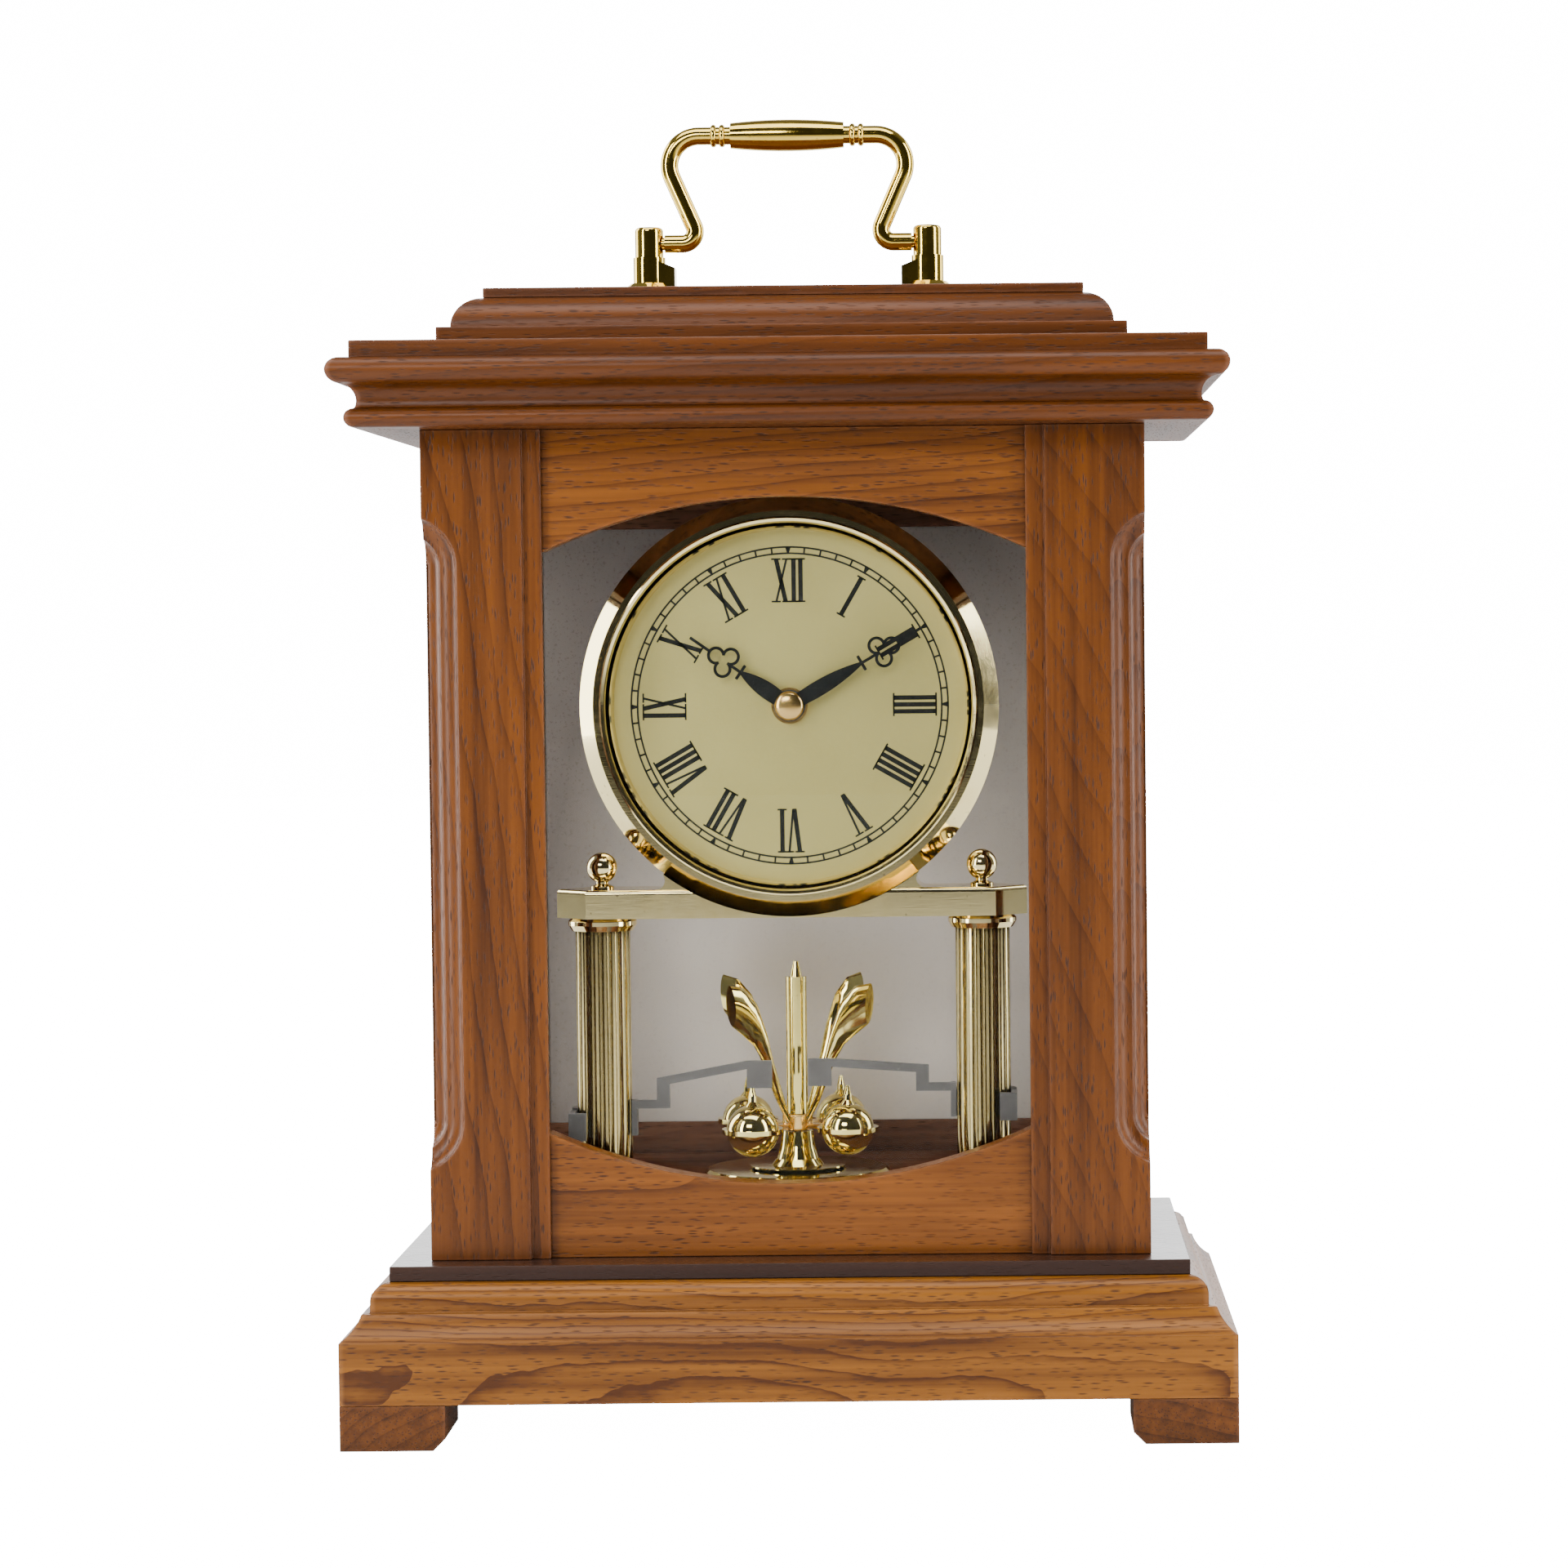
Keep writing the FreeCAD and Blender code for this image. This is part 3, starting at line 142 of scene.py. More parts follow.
# Each layer is a noise drawn out along the grain, and swing is how far it moves the tone.
woodGrain = {"apart": (0.31, 0.043, 1.7), "waver": (22.0, 22.0, 7.0), "waverBy": (0.012, 0.012, 0.0),
             "layers": {
                 "broad": {"drawn": (34.0, 34.0, 5.0), "detail": 3.0, "roughness": 0.55, "swing": 0.24},
                 "streak": {"drawn": (260.0, 260.0, 6.0), "detail": 2.0, "roughness": 0.5, "swing": 0.28},
                 "fibre": {"drawn": (900.0, 900.0, 22.0), "detail": 3.0, "roughness": 0.6, "swing": 0.16}},
             "layerEdge": (0.3, 0.7), "baseTone": 0.3, "lateWood": 5.0,
             "ringWaver": 1.4, "ringWaverScale": 0.5,
             "cells": (1500.0, 1500.0, 210.0), "poreEdge": (0.34, 0.16),
             "poreTint": (0.022, 0.009, 0.005),
             "poreDark": 0.8, "poreDull": 0.25, "fewerPores": (0.2, 0.9, 1.0, 0.45), "fibreDepth": 0.25,
             "roughness": (0.3, 0.42)}


def makeWoodEffect():
    tree, given, result = newGroup(
        "woodEffect",
        {"Grain Vector": "Vector", "Light": "Color", "Dark": "Color", "Figure": "Float", "Tilt": "Float",
         "Rings": "Float"},
        {"Color": "Color", "Roughness": "Float", "Height": "Float"})
    piece = addNode(tree, "ShaderNodeObjectInfo").outputs["Random"]
    across, deep, along = woodGrain["apart"]  # each piece is cut from another place
    shift = addNode(tree, "ShaderNodeCombineXYZ", {0: calc(tree, "MULTIPLY", piece, across), 1: deep,
                                                   2: calc(tree, "MULTIPLY", piece, along)}).outputs[0]
    moved = move(tree, given["Grain Vector"], shift)
    waver = noise(tree, stretch(tree, moved, woodGrain["waver"]), 1.0, output=1)
    bent = move(tree, moved, stretch(tree, waver, woodGrain["waverBy"]))
    tilted = addNode(tree, "ShaderNodeVectorRotate", {"Vector": bent, "Angle": given["Tilt"]},
                     rotation_type="X_AXIS").outputs[0]
    rings = addNode(tree, "ShaderNodeTexWave",
                    {"Vector": tilted, "Scale": given["Rings"], "Distortion": woodGrain["ringWaver"],
                     "Detail": 2.0, "Detail Scale": woodGrain["ringWaverScale"]},
                    wave_type="RINGS", rings_direction="Z", wave_profile="SAW").outputs["Fac"]
    cells = stretch(tree, moved, woodGrain["cells"])
    cell = addNode(tree, "ShaderNodeTexVoronoi", {"Vector": cells, "Scale": 1.0}, feature="F1").outputs[0]
    pore = ramp(tree, cell, *woodGrain["poreEdge"])
    pore = calc(tree, "MULTIPLY", pore, ramp(tree, rings, *woodGrain["fewerPores"]))
    tone = calc(tree, "MULTIPLY", calc(tree, "POWER", rings, woodGrain["lateWood"]), given["Figure"])
    textures = {}
    for label, layer in woodGrain["layers"].items():
        drawn = stretch(tree, moved, layer["drawn"])
        textures[label] = noise(tree, drawn, 1.0, layer["detail"], layer["roughness"])
        swing = ramp(tree, textures[label], *woodGrain["layerEdge"], -layer["swing"], layer["swing"])
        tone = calc(tree, "ADD", tone, swing)
    tone = calc(tree, "ADD", tone, woodGrain["baseTone"], True)
    wood = mixColor(tree, tone, given["Light"], given["Dark"])
    wood = mixColor(tree, calc(tree, "MULTIPLY", pore, woodGrain["poreDark"]), wood, woodGrain["poreTint"])
    feed(tree, result["Color"], wood)
    smooth = ramp(tree, textures["broad"], *woodGrain["layerEdge"], *woodGrain["roughness"])
    dull = calc(tree, "MULTIPLY", pore, woodGrain["poreDull"])
    feed(tree, result["Roughness"], calc(tree, "ADD", smooth, dull))
    dips = calc(tree, "MULTIPLY", pore, -1.0)
    raised = calc(tree, "MULTIPLY", textures["fibre"], woodGrain["fibreDepth"])
    feed(tree, result["Height"], calc(tree, "ADD", dips, raised))
    return tree


# Tarnish in soft clouds, finger smudges, hairlines both ways and a few dark spots.
metalWear = {"cloud": 55.0, "cloudEdge": (0.5, 0.75), "mostTarnish": 0.5, "finger": 190.0,
             "smudgeEdge": (0.12, 0.42), "hair": (2600.0, 2600.0, 160.0), "crossHair": (180.0, 180.0, 3200.0),
             "spot": 900.0, "spotEdge": (0.69, 0.76), "spotTint": (0.16, 0.08, 0.03), "spotDark": 0.4}


def makeMetalEffect():
    tree, given, result = newGroup(
        "metalEffect", {"Vector": "Vector", "Tint": "Color", "Tarnish": "Color"},
        {"Color": "Color", "Smudge": "Float", "Height": "Float"})
    place = given["Vector"]
    cloud = noise(tree, place, metalWear["cloud"], 4.0, 0.6)
    finger = noise(tree, place, metalWear["finger"], 3.0, 0.65)
    hair = noise(tree, stretch(tree, place, metalWear["hair"]), 1.0, 2.0, 0.6)
    crossHair = noise(tree, stretch(tree, place, metalWear["crossHair"]), 1.0, 2.0, 0.6)
    spot = ramp(tree, noise(tree, place, metalWear["spot"]), *metalWear["spotEdge"])
    worn = ramp(tree, cloud, *metalWear["cloudEdge"], 0.0, metalWear["mostTarnish"])
    color = mixColor(tree, worn, given["Tint"], given["Tarnish"])
    color = mixColor(tree, calc(tree, "MULTIPLY", spot, metalWear["spotDark"]), color, metalWear["spotTint"])
    feed(tree, result["Color"], color)
    feed(tree, result["Smudge"], ramp(tree, calc(tree, "MULTIPLY", cloud, finger), *metalWear["smudgeEdge"]))
    feed(tree, result["Height"], calc(tree, "ADD", hair, crossHair))
    return tree


# A faint mottle in moulded plastic, its fine skin, and dust.
mouldSkin = {"mottle": 120.0, "mottleEdge": (0.35, 0.7, 0.0, 0.07), "mottleTint": (0.4, 0.37, 0.34),
             "skin": 2600.0, "dust": 1400.0, "dustEdge": (0.66, 0.74, 0.0, 0.3),
             "dustTint": (0.5, 0.47, 0.43)}


def makeMouldEffect():
    tree, given, result = newGroup(
        "mouldEffect", {"Vector": "Vector", "Tint": "Color"}, {"Color": "Color", "Height": "Float"})
    place = given["Vector"]
    mottle = ramp(tree, noise(tree, place, mouldSkin["mottle"], 4.0, 0.6), *mouldSkin["mottleEdge"])
    tint = mixColor(tree, mottle, given["Tint"], mouldSkin["mottleTint"])
    dust = ramp(tree, noise(tree, place, mouldSkin["dust"], 2.0, 0.6), *mouldSkin["dustEdge"])
    feed(tree, result["Color"], mixColor(tree, dust, tint, mouldSkin["dustTint"]))
    feed(tree, result["Height"], noise(tree, place, mouldSkin["skin"]))
    return tree


edgeEffect = makeEdgeEffect()
woodEffect = makeWoodEffect()
metalEffect = makeMetalEffect()
mouldEffect = makeMouldEffect()


def newMaterial(name):
    material = bpy.data.materials.new(name)
    material.use_nodes = True
    tree = material.node_tree
    shader = next(node for node in tree.nodes if node.type == "BSDF_PRINCIPLED")
    return material, tree, shader


def fillGroup(tree, group, inputs):
    node = tree.nodes.new("ShaderNodeGroup")
    node.node_tree = group
    for key, value in inputs.items():
        feed(tree, node.inputs[key], value)
    return node.outputs


def addBump(tree, shader, height, distance, strength):
    bump = addNode(tree, "ShaderNodeBump", {"Height": height, "Distance": distance, "Strength": strength})
    feed(tree, shader.inputs["Normal"], bump.outputs["Normal"])


def shade(color, times, lift=0.0):
    return tuple(min(1.0, channel * times + lift) for channel in color)


# Darkens the hollows: painted shade, with some dirt.
def shadeAndSoilCorners(tree, edges, amount, color, shadeAndSoil):
    return mixColor(tree, calc(tree, "MULTIPLY", edges["CornerShadeAndDirt"], amount, True), color, shadeAndSoil)


# Lightens the proud arrises: wear, and a painted highlight.
def bareAndHighlightEdges(tree, edges, amount, color, bareAndHighlight):
    return mixColor(tree, calc(tree, "MULTIPLY", edges["RubAndHighlight"], amount), color, bareAndHighlight)


# How much the corners darken as painted shade and dirt, and how much the arrises lighten as wear and painted
# highlight.
woodFinish = {"reach": 1.1 * mm, "shadeAndSoil": 0.75, "shadeAndSoilTone": 0.22, "rubHighlightTimes": 1.6, "rubHighlightLift": 0.05,
              "gloss": 0.2, "topFacing": (0.9, 0.98), "waxRoughness": 0.22, "grainDepth": 0.12 * mm}


# The arris amount lightens the arrises as wear and as a painted highlight; coat and polish are the wax on the
# sides and on the top, dull makes it matt.
def woodMaterial(name, grain, light, dark, figure, rubAndHighlight=0.3, coat=0.06, dull=0.0, tilt=0.09, bump=0.6,
                 rings=85.0, polish=0.06):
    material, tree, shader = newMaterial(name)
    wood = fillGroup(tree, woodEffect, {"Grain Vector": objectVector(tree, grain), "Light": light,
                                        "Dark": dark, "Figure": figure, "Tilt": tilt, "Rings": rings})
    edges = fillGroup(tree, edgeEffect, {"Reach": woodFinish["reach"]})
    # Painted shade and dirt go into the corners, wear and a painted highlight onto the arrises.
    shadeAndSoil = shade(dark, woodFinish["shadeAndSoilTone"])
    bareAndHighlight = shade(light, woodFinish["rubHighlightTimes"], woodFinish["rubHighlightLift"])
    color = shadeAndSoilCorners(tree, edges, woodFinish["shadeAndSoil"], wood["Color"], shadeAndSoil)
    feed(tree, shader.inputs["Base Color"], bareAndHighlightEdges(tree, edges, rubAndHighlight, color, bareAndHighlight))
    feed(tree, shader.inputs["Roughness"], calc(tree, "ADD", wood["Roughness"], dull))
    shader.inputs["Specular IOR Level"].default_value = max(0.0, woodFinish["gloss"] - dull)
    upward = split(tree, addNode(tree, "ShaderNodeNewGeometry").outputs["Normal"])[2]
    feed(tree, shader.inputs["Coat Weight"], ramp(tree, upward, *woodFinish["topFacing"], coat, polish))
    shader.inputs["Coat Roughness"].default_value = woodFinish["waxRoughness"]
    addBump(tree, shader, wood["Height"], woodFinish["grainDepth"], bump)
    return material


metalFinish = {"shadeAndSoilTone": 0.25, "hairDepth": 0.04 * mm}


def metalMaterial(name, tint, tarnish, smooth, rough, bump=0.08, grimeAndShade=0.3, reach=0.8 * mm):
    material, tree, shader = newMaterial(name)
    metal = fillGroup(tree, metalEffect, {"Vector": objectVector(tree), "Tint": tint, "Tarnish": tarnish})
    edges = fillGroup(tree, edgeEffect, {"Reach": reach})
    # The hollows darken: darker tarnish and painted shade.
    shadeAndSoil = shade(tarnish, metalFinish["shadeAndSoilTone"])
    feed(tree, shader.inputs["Base Color"], shadeAndSoilCorners(tree, edges, grimeAndShade, metal["Color"], shadeAndSoil))
    feed(tree, shader.inputs["Roughness"], mixValue(tree, metal["Smudge"], smooth, rough))
    shader.inputs["Metallic"].default_value = 1.0
    addBump(tree, shader, metal["Height"], metalFinish["hairDepth"], bump)
    return material


plasticFinish = {"reach": 0.8 * mm, "shadeAndSoil": 0.5, "shadeAndSoilTone": 0.3, "rubAndHighlight": 0.25, "rubHighlightTimes": 1.5,
                 "rubHighlightLift": 0.06, "bump": 0.5}


def plasticMaterial(name, tint, roughness, grainDepth):
    material, tree, shader = newMaterial(name)
    mould = fillGroup(tree, mouldEffect, {"Vector": objectVector(tree), "Tint": tint})
    edges = fillGroup(tree, edgeEffect, {"Reach": plasticFinish["reach"]})
    # Painted shade and dirt darken the hollows; wear and a painted highlight lighten the arrises.
    shadeAndSoil = shade(tint, plasticFinish["shadeAndSoilTone"])
    bareAndHighlight = shade(tint, plasticFinish["rubHighlightTimes"], plasticFinish["rubHighlightLift"])
    color = shadeAndSoilCorners(tree, edges, plasticFinish["shadeAndSoil"], mould["Color"], shadeAndSoil)
    feed(tree, shader.inputs["Base Color"], bareAndHighlightEdges(tree, edges, plasticFinish["rubAndHighlight"], color, bareAndHighlight))
    shader.inputs["Roughness"].default_value = roughness
    addBump(tree, shader, mould["Height"], grainDepth, plasticFinish["bump"])
    return material


glassFinish = {"tint": (0.97, 0.985, 0.98), "clear": (0.93, 0.95, 0.94), "bending": 1.12, "smear": 26.0,
               "smearEdge": (0.45, 0.8, 0.0, 0.035)}


def glassMaterial(name):
    material, tree, shader = newMaterial(name)
    smear = noise(tree, objectVector(tree), glassFinish["smear"], 4.0, 0.65)
    feed(tree, shader.inputs["Roughness"], ramp(tree, smear, *glassFinish["smearEdge"]))
    feed(tree, shader.inputs["Base Color"], glassFinish["tint"])
    shader.inputs["Transmission Weight"].default_value = 1.0
    shader.inputs["IOR"].default_value = glassFinish["bending"]
    rays = addNode(tree, "ShaderNodeLightPath").outputs
    clear = addNode(tree, "ShaderNodeBsdfTransparent", {"Color": glassFinish["clear"]})
    passing = calc(tree, "MAXIMUM", rays["Is Shadow Ray"], rays["Is Diffuse Ray"])
    mixed = addNode(tree, "ShaderNodeMixShader", {0: passing, 1: shader.outputs[0], 2: clear.outputs[0]})
    output = next(node for node in tree.nodes if node.type == "OUTPUT_MATERIAL")
    feed(tree, output.inputs["Surface"], mixed.outputs[0])
    return material


dialFinish = {"gold": (0.45, 0.36, 0.128), "cloudGold": (0.40, 0.318, 0.108), "speckGold": (0.55, 0.45, 0.19),
              "cloud": 30.0, "cloudEdge": (0.35, 0.7), "speck": 2200.0, "speckEdge": (0.45, 0.8, 0.0, 0.35),
              "roughness": (0.42, 0.54), "metallic": 0.45, "speckDepth": 0.03 * mm, "bump": 0.5}


def dialMaterial():
    material, tree, shader = newMaterial("goldDial")
    place = objectVector(tree)
    speck = noise(tree, place, dialFinish["speck"], 3.0, 0.7)
    cloud = ramp(tree, noise(tree, place, dialFinish["cloud"]), *dialFinish["cloudEdge"])
    gold = mixColor(tree, cloud, dialFinish["gold"], dialFinish["cloudGold"])
    gold = mixColor(tree, ramp(tree, speck, *dialFinish["speckEdge"]), gold, dialFinish["speckGold"])
    feed(tree, shader.inputs["Base Color"], gold)
    feed(tree, shader.inputs["Roughness"], ramp(tree, speck, 0.3, 0.7, *dialFinish["roughness"]))
    shader.inputs["Metallic"].default_value = dialFinish["metallic"]
    addBump(tree, shader, speck, dialFinish["speckDepth"], dialFinish["bump"])
    return material


paintFinish = {"grain": 1800.0, "grainEdge": (0.35, 0.75), "palerShade": 1.5, "palerLift": 0.004,
               "rougher": 0.12, "gloss": 0.15, "grainDepth": 0.02 * mm, "bump": 0.4}


def paintMaterial(name, tint, roughness):
    material, tree, shader = newMaterial(name)
    grain = noise(tree, objectVector(tree), paintFinish["grain"], 2.0, 0.6)
    paler = shade(tint, paintFinish["palerShade"], paintFinish["palerLift"])
    color = mixColor(tree, ramp(tree, grain, *paintFinish["grainEdge"]), tint, paler)
    feed(tree, shader.inputs["Base Color"], color)
    rougher = ramp(tree, grain, 0.3, 0.7, roughness, roughness + paintFinish["rougher"])
    feed(tree, shader.inputs["Roughness"], rougher)
    shader.inputs["Specular IOR Level"].default_value = paintFinish["gloss"]
    addBump(tree, shader, grain, paintFinish["grainDepth"], paintFinish["bump"])
    return material


# The panel's colour holds a painted pool of light round its middle and painted shade darkening towards the
# frame.
panelFinish = {"middle": (0.014, 0.04, 0.095), "spread": (1.6, 1.0, 0.9), "paintedShadeFade": (0.06, 0.14),
               "paintedLightPale": (0.63, 0.555, 0.515), "paintedShadeDim": (0.175, 0.145, 0.134), "cloud": 14.0, "cloudBy": 0.03,
               "reach": 3.0 * mm, "shadeAndSoil": 0.7, "shadeAndSoilTint": (0.06, 0.045, 0.04), "grain": 1600.0,
               "roughness": (0.26, 0.34), "grainDepth": 0.02 * mm, "bump": 0.3}


def panelMaterial():
    material, tree, shader = newMaterial("greyPanel")
    place = objectVector(tree)
    spread = stretch(tree, place, panelFinish["spread"])
    away = addNode(tree, "ShaderNodeVectorMath", {0: spread, 1: panelFinish["middle"]}, operation="DISTANCE")
    # A painted pool of light in the middle, painted shade towards the frame.
    cloud = calc(tree, "MULTIPLY", noise(tree, place, panelFinish["cloud"], 3.0), panelFinish["cloudBy"])
    paintedShadeFade = ramp(tree, calc(tree, "ADD", away.outputs["Value"], cloud), *panelFinish["paintedShadeFade"])
    tint = mixColor(tree, paintedShadeFade, panelFinish["paintedLightPale"], panelFinish["paintedShadeDim"])
    # Painted shade and dirt in the hollows by the frame.
    edges = fillGroup(tree, edgeEffect, {"Reach": panelFinish["reach"]})
    color = shadeAndSoilCorners(tree, edges, panelFinish["shadeAndSoil"], tint, panelFinish["shadeAndSoilTint"])
    feed(tree, shader.inputs["Base Color"], color)
    grain = noise(tree, place, panelFinish["grain"], 2.0, 0.6)
    feed(tree, shader.inputs["Roughness"], ramp(tree, grain, 0.3, 0.7, *panelFinish["roughness"]))
    addBump(tree, shader, grain, panelFinish["grainDepth"], panelFinish["bump"])
    return material


winding = {"turns": 900.0, "uneven": 0.4, "between": (0.25, 0.07, 0.03), "wire": (0.75, 0.3, 0.13),
           "roughness": (0.45, 0.25), "metallic": 0.8, "depth": 0.15 * mm, "bump": 0.8}


def windingMaterial():
    material, tree, shader = newMaterial("copperWinding")
    turns = addNode(tree, "ShaderNodeTexWave",
                    {"Vector": objectVector(tree), "Scale": winding["turns"],
                     "Distortion": winding["uneven"]},
                    wave_type="BANDS", bands_direction="DIAGONAL").outputs["Fac"]
    feed(tree, shader.inputs["Base Color"], mixColor(tree, turns, winding["between"], winding["wire"]))
    feed(tree, shader.inputs["Roughness"], ramp(tree, turns, 0.0, 1.0, *winding["roughness"]))
    shader.inputs["Metallic"].default_value = winding["metallic"]
    addBump(tree, shader, turns, winding["depth"], winding["bump"])
    return material


sleeve = {"bandFrom": 12.0 * mm, "dark": (0.03, 0.09, 0.17), "band": (0.55, 0.34, 0.12), "scuff": 400.0,
          "scuffEdge": (0.55, 0.75), "mostScuff": 0.4, "scuffTint": (0.3, 0.3, 0.3), "roughness": (0.22, 0.5)}


def sleeveMaterial():
    material, tree, shader = newMaterial("batterySleeve")
    place = objectVector(tree)
    band = calc(tree, "GREATER_THAN", split(tree, place)[0], sleeve["bandFrom"])
    scuff = noise(tree, place, sleeve["scuff"], 3.0, 0.6)
    scuff = ramp(tree, scuff, *sleeve["scuffEdge"], 0.0, sleeve["mostScuff"])
    tint = mixColor(tree, band, sleeve["dark"], sleeve["band"])
    feed(tree, shader.inputs["Base Color"], mixColor(tree, scuff, tint, sleeve["scuffTint"]))
    rougher = ramp(tree, scuff, 0.0, sleeve["mostScuff"], *sleeve["roughness"])
    feed(tree, shader.inputs["Roughness"], rougher)
    return material


# Wood has its light and late rings, brass its clean and its tarnished tint.
red = {"light": (0.145, 0.041, 0.0036), "dark": (0.038, 0.0095, 0.0010)}
# Painted light: a lighter copy of the red wood, so the rails look brighter than their shade leaves them.
litRail = {"light": (0.225, 0.070, 0.0080), "dark": (0.05, 0.013, 0.0018)}
shaded = {"light": (0.115, 0.031, 0.0026), "dark": (0.030, 0.0075, 0.0009)}
warm = {"light": (0.25, 0.090, 0.0095), "dark": (0.060, 0.0165, 0.0018)}
brown = {"light": (0.12, 0.036, 0.004), "dark": (0.034, 0.0095, 0.0014)}
deep = {"light": (0.030, 0.0105, 0.0050), "dark": (0.012, 0.0045, 0.0025)}
inner = {"light": (0.125, 0.056, 0.033), "dark": (0.06, 0.025, 0.016)}
paleGold = {"tint": (0.88, 0.72, 0.35), "tarnish": (0.72, 0.53, 0.19)}
deepGold = {"tint": (0.76, 0.53, 0.085), "tarnish": (0.52, 0.33, 0.045)}
oliveGold = {"tint": (0.8, 0.655, 0.225), "tarnish": (0.58, 0.44, 0.11)}
coppery = {"tint": (0.85, 0.55, 0.2), "tarnish": (0.6, 0.33, 0.1)}
zinc = {"tint": (0.62, 0.62, 0.6), "tarnish": (0.4, 0.39, 0.36)}

# Each finish: its material, and the pieces that have it.
finishes = {
    "baseX": (woodMaterial("woodBaseX", "X", figure=0.75, rings=210.0, tilt=0.05, **warm),
              ["plinth_rail_front", "plinth_rail_back"]),
    "baseY": (woodMaterial("woodBaseY", "Y", figure=0.75, rings=210.0, tilt=0.05, **warm),
              ["plinth_rail_left", "plinth_rail_right"]),
    "feet": (woodMaterial("woodFeet", "Y", figure=0.5, **brown), ["feet"]),
    "caseZ": (woodMaterial("woodCaseZ", "Z", figure=0.5, **red),
              ["corner_post_left", "side_frame_left", "side_frame_right"]),
    "crossed": (woodMaterial("woodCrossed", "Z", figure=0.3, tilt=0.36, rings=60.0, **red),
                ["corner_post_right"]),
    "caseX": (woodMaterial("woodCaseX", "X", figure=0.5, **litRail), ["front_top_rail", "front_bottom_rail"]),
    "corniceX": (woodMaterial("woodCorniceX", "X", figure=0.3, rubAndHighlight=0.6, **shaded),
                 ["cornice_front", "cornice_back", "cornice_board", "step_board", "crown_board",
                  "cap_board"]),
    "corniceY": (woodMaterial("woodCorniceY", "Y", figure=0.3, rubAndHighlight=0.6, **shaded),
                 ["cornice_left", "cornice_right"]),
    "board": (woodMaterial("woodDarkBoard", "X", figure=0.3, rubAndHighlight=0.08, polish=1.0, **deep), ["plinth_board"]),
    "inside": (woodMaterial("woodInside", "X", figure=0.3, rubAndHighlight=0.2, coat=0.0, polish=0.0, dull=0.4,
                            bump=0.06, **inner),
               ["floor_board", "top_board", "rear_rails", "rear_door_frame"]),
    "glass": (glassMaterial("clearGlass"), ["front_glass", "side_glasses", "dial_glass"]),
    "panel": (panelMaterial(), ["rear_door_panel"]),
    "fittings": (metalMaterial("brassFittings", smooth=0.16, rough=0.34, **deepGold),
                 ["door_knob", "hinge_case_leaves_and_pins", "hinge_door_leaves"]),
    "handle": (metalMaterial("brassHandle", smooth=0.04, rough=0.13, **deepGold),
               ["handle_posts", "handle_bail", "handle_grip"]),
    "clock": (metalMaterial("brassClock", smooth=0.03, rough=0.12, **paleGold),
              ["drum", "bezel", "bridge", "column_collars", "finials"]),
    # The strong hollow darkening paints shade into the flutes.
    "columns": (metalMaterial("brassColumns", smooth=0.03, rough=0.12, grimeAndShade=3.0, reach=1.6 * mm, **paleGold),
                ["columns"]),
    "pendulum": (metalMaterial("brassPendulum", smooth=0.03, rough=0.11, **oliveGold),
                 ["pendulum_disc", "pendulum_stem", "pendulum_balls", "pendulum_petals"]),
    "hub": (metalMaterial("brassHub", smooth=0.14, rough=0.3, **coppery), ["pendulum_hub"]),
    "centre": (metalMaterial("brassCentre", smooth=0.12, rough=0.25, **coppery), ["hand_cap", "fixing_nut"]),
    "wheel": (metalMaterial("brassWheel", smooth=0.2, rough=0.36, bump=0.3, **deepGold), ["centre_wheel"]),
    "steel": (metalMaterial("zincRods", smooth=0.25, rough=0.42, bump=0.3, **zinc), ["tie_rods_and_nuts"]),
    "dial": (dialMaterial(), ["dial_plate"]),
    "hands": (paintMaterial("blackHands", (0.006, 0.0055, 0.005), 0.4), ["hour_hand", "minute_hand"]),
    "black": (plasticMaterial("blackPlastic", (0.022, 0.022, 0.023), 0.46, 0.08 * mm),
              ["movement_case", "drive_housing"]),
    "cover": (plasticMaterial("greyCover", (0.09, 0.09, 0.095), 0.5, 0.08 * mm), ["movement_cover"]),
    "white": (plasticMaterial("whiteWheels", (0.72, 0.7, 0.65), 0.42, 0.05 * mm), ["hour_wheel", "set_knob"]),
    "sleeve": (sleeveMaterial(), ["batteries"]),
    "coil": (windingMaterial(), ["coils"]),
    "clips": (plasticMaterial("clipPlastic", (0.075, 0.066, 0.062), 0.5, 0.06 * mm), ["transit_clips"]),
}
for material, members in finishes.values():
    for name in members:
        nodes[name].data.materials.clear()
        nodes[name].data.materials.append(material)
print("materials ready")


# Softens the sawn and moulded wood's arrises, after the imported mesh's own normals are taken off.
softened = {"width": 0.28 * mm, "rounds": 2, "limit": math.radians(32), "weld": 0.002 * mm,
            "finishes": ("baseX", "baseY", "feet", "caseZ", "crossed", "caseX", "corniceX", "corniceY",
                         "board", "inside")}


def softenEdges(node):
    mesh = node.data
    if "custom_normal" in mesh.attributes:
        mesh.attributes.remove(mesh.attributes["custom_normal"])
    weld = node.modifiers.new("weld", "WELD")
    weld.merge_threshold = softened["weld"]
    bevel = node.modifiers.new("arris", "BEVEL")
    bevel.width = softened["width"]
    bevel.segments = softened["rounds"]
    bevel.limit_method = "ANGLE"
    bevel.angle_limit = softened["limit"]
    bevel.use_clamp_overlap = False
    bevel.harden_normals = True


for finish in softened["finishes"]:
    for name in finishes[finish][1]:
        softenEdges(nodes[name])
print("arrises softened")


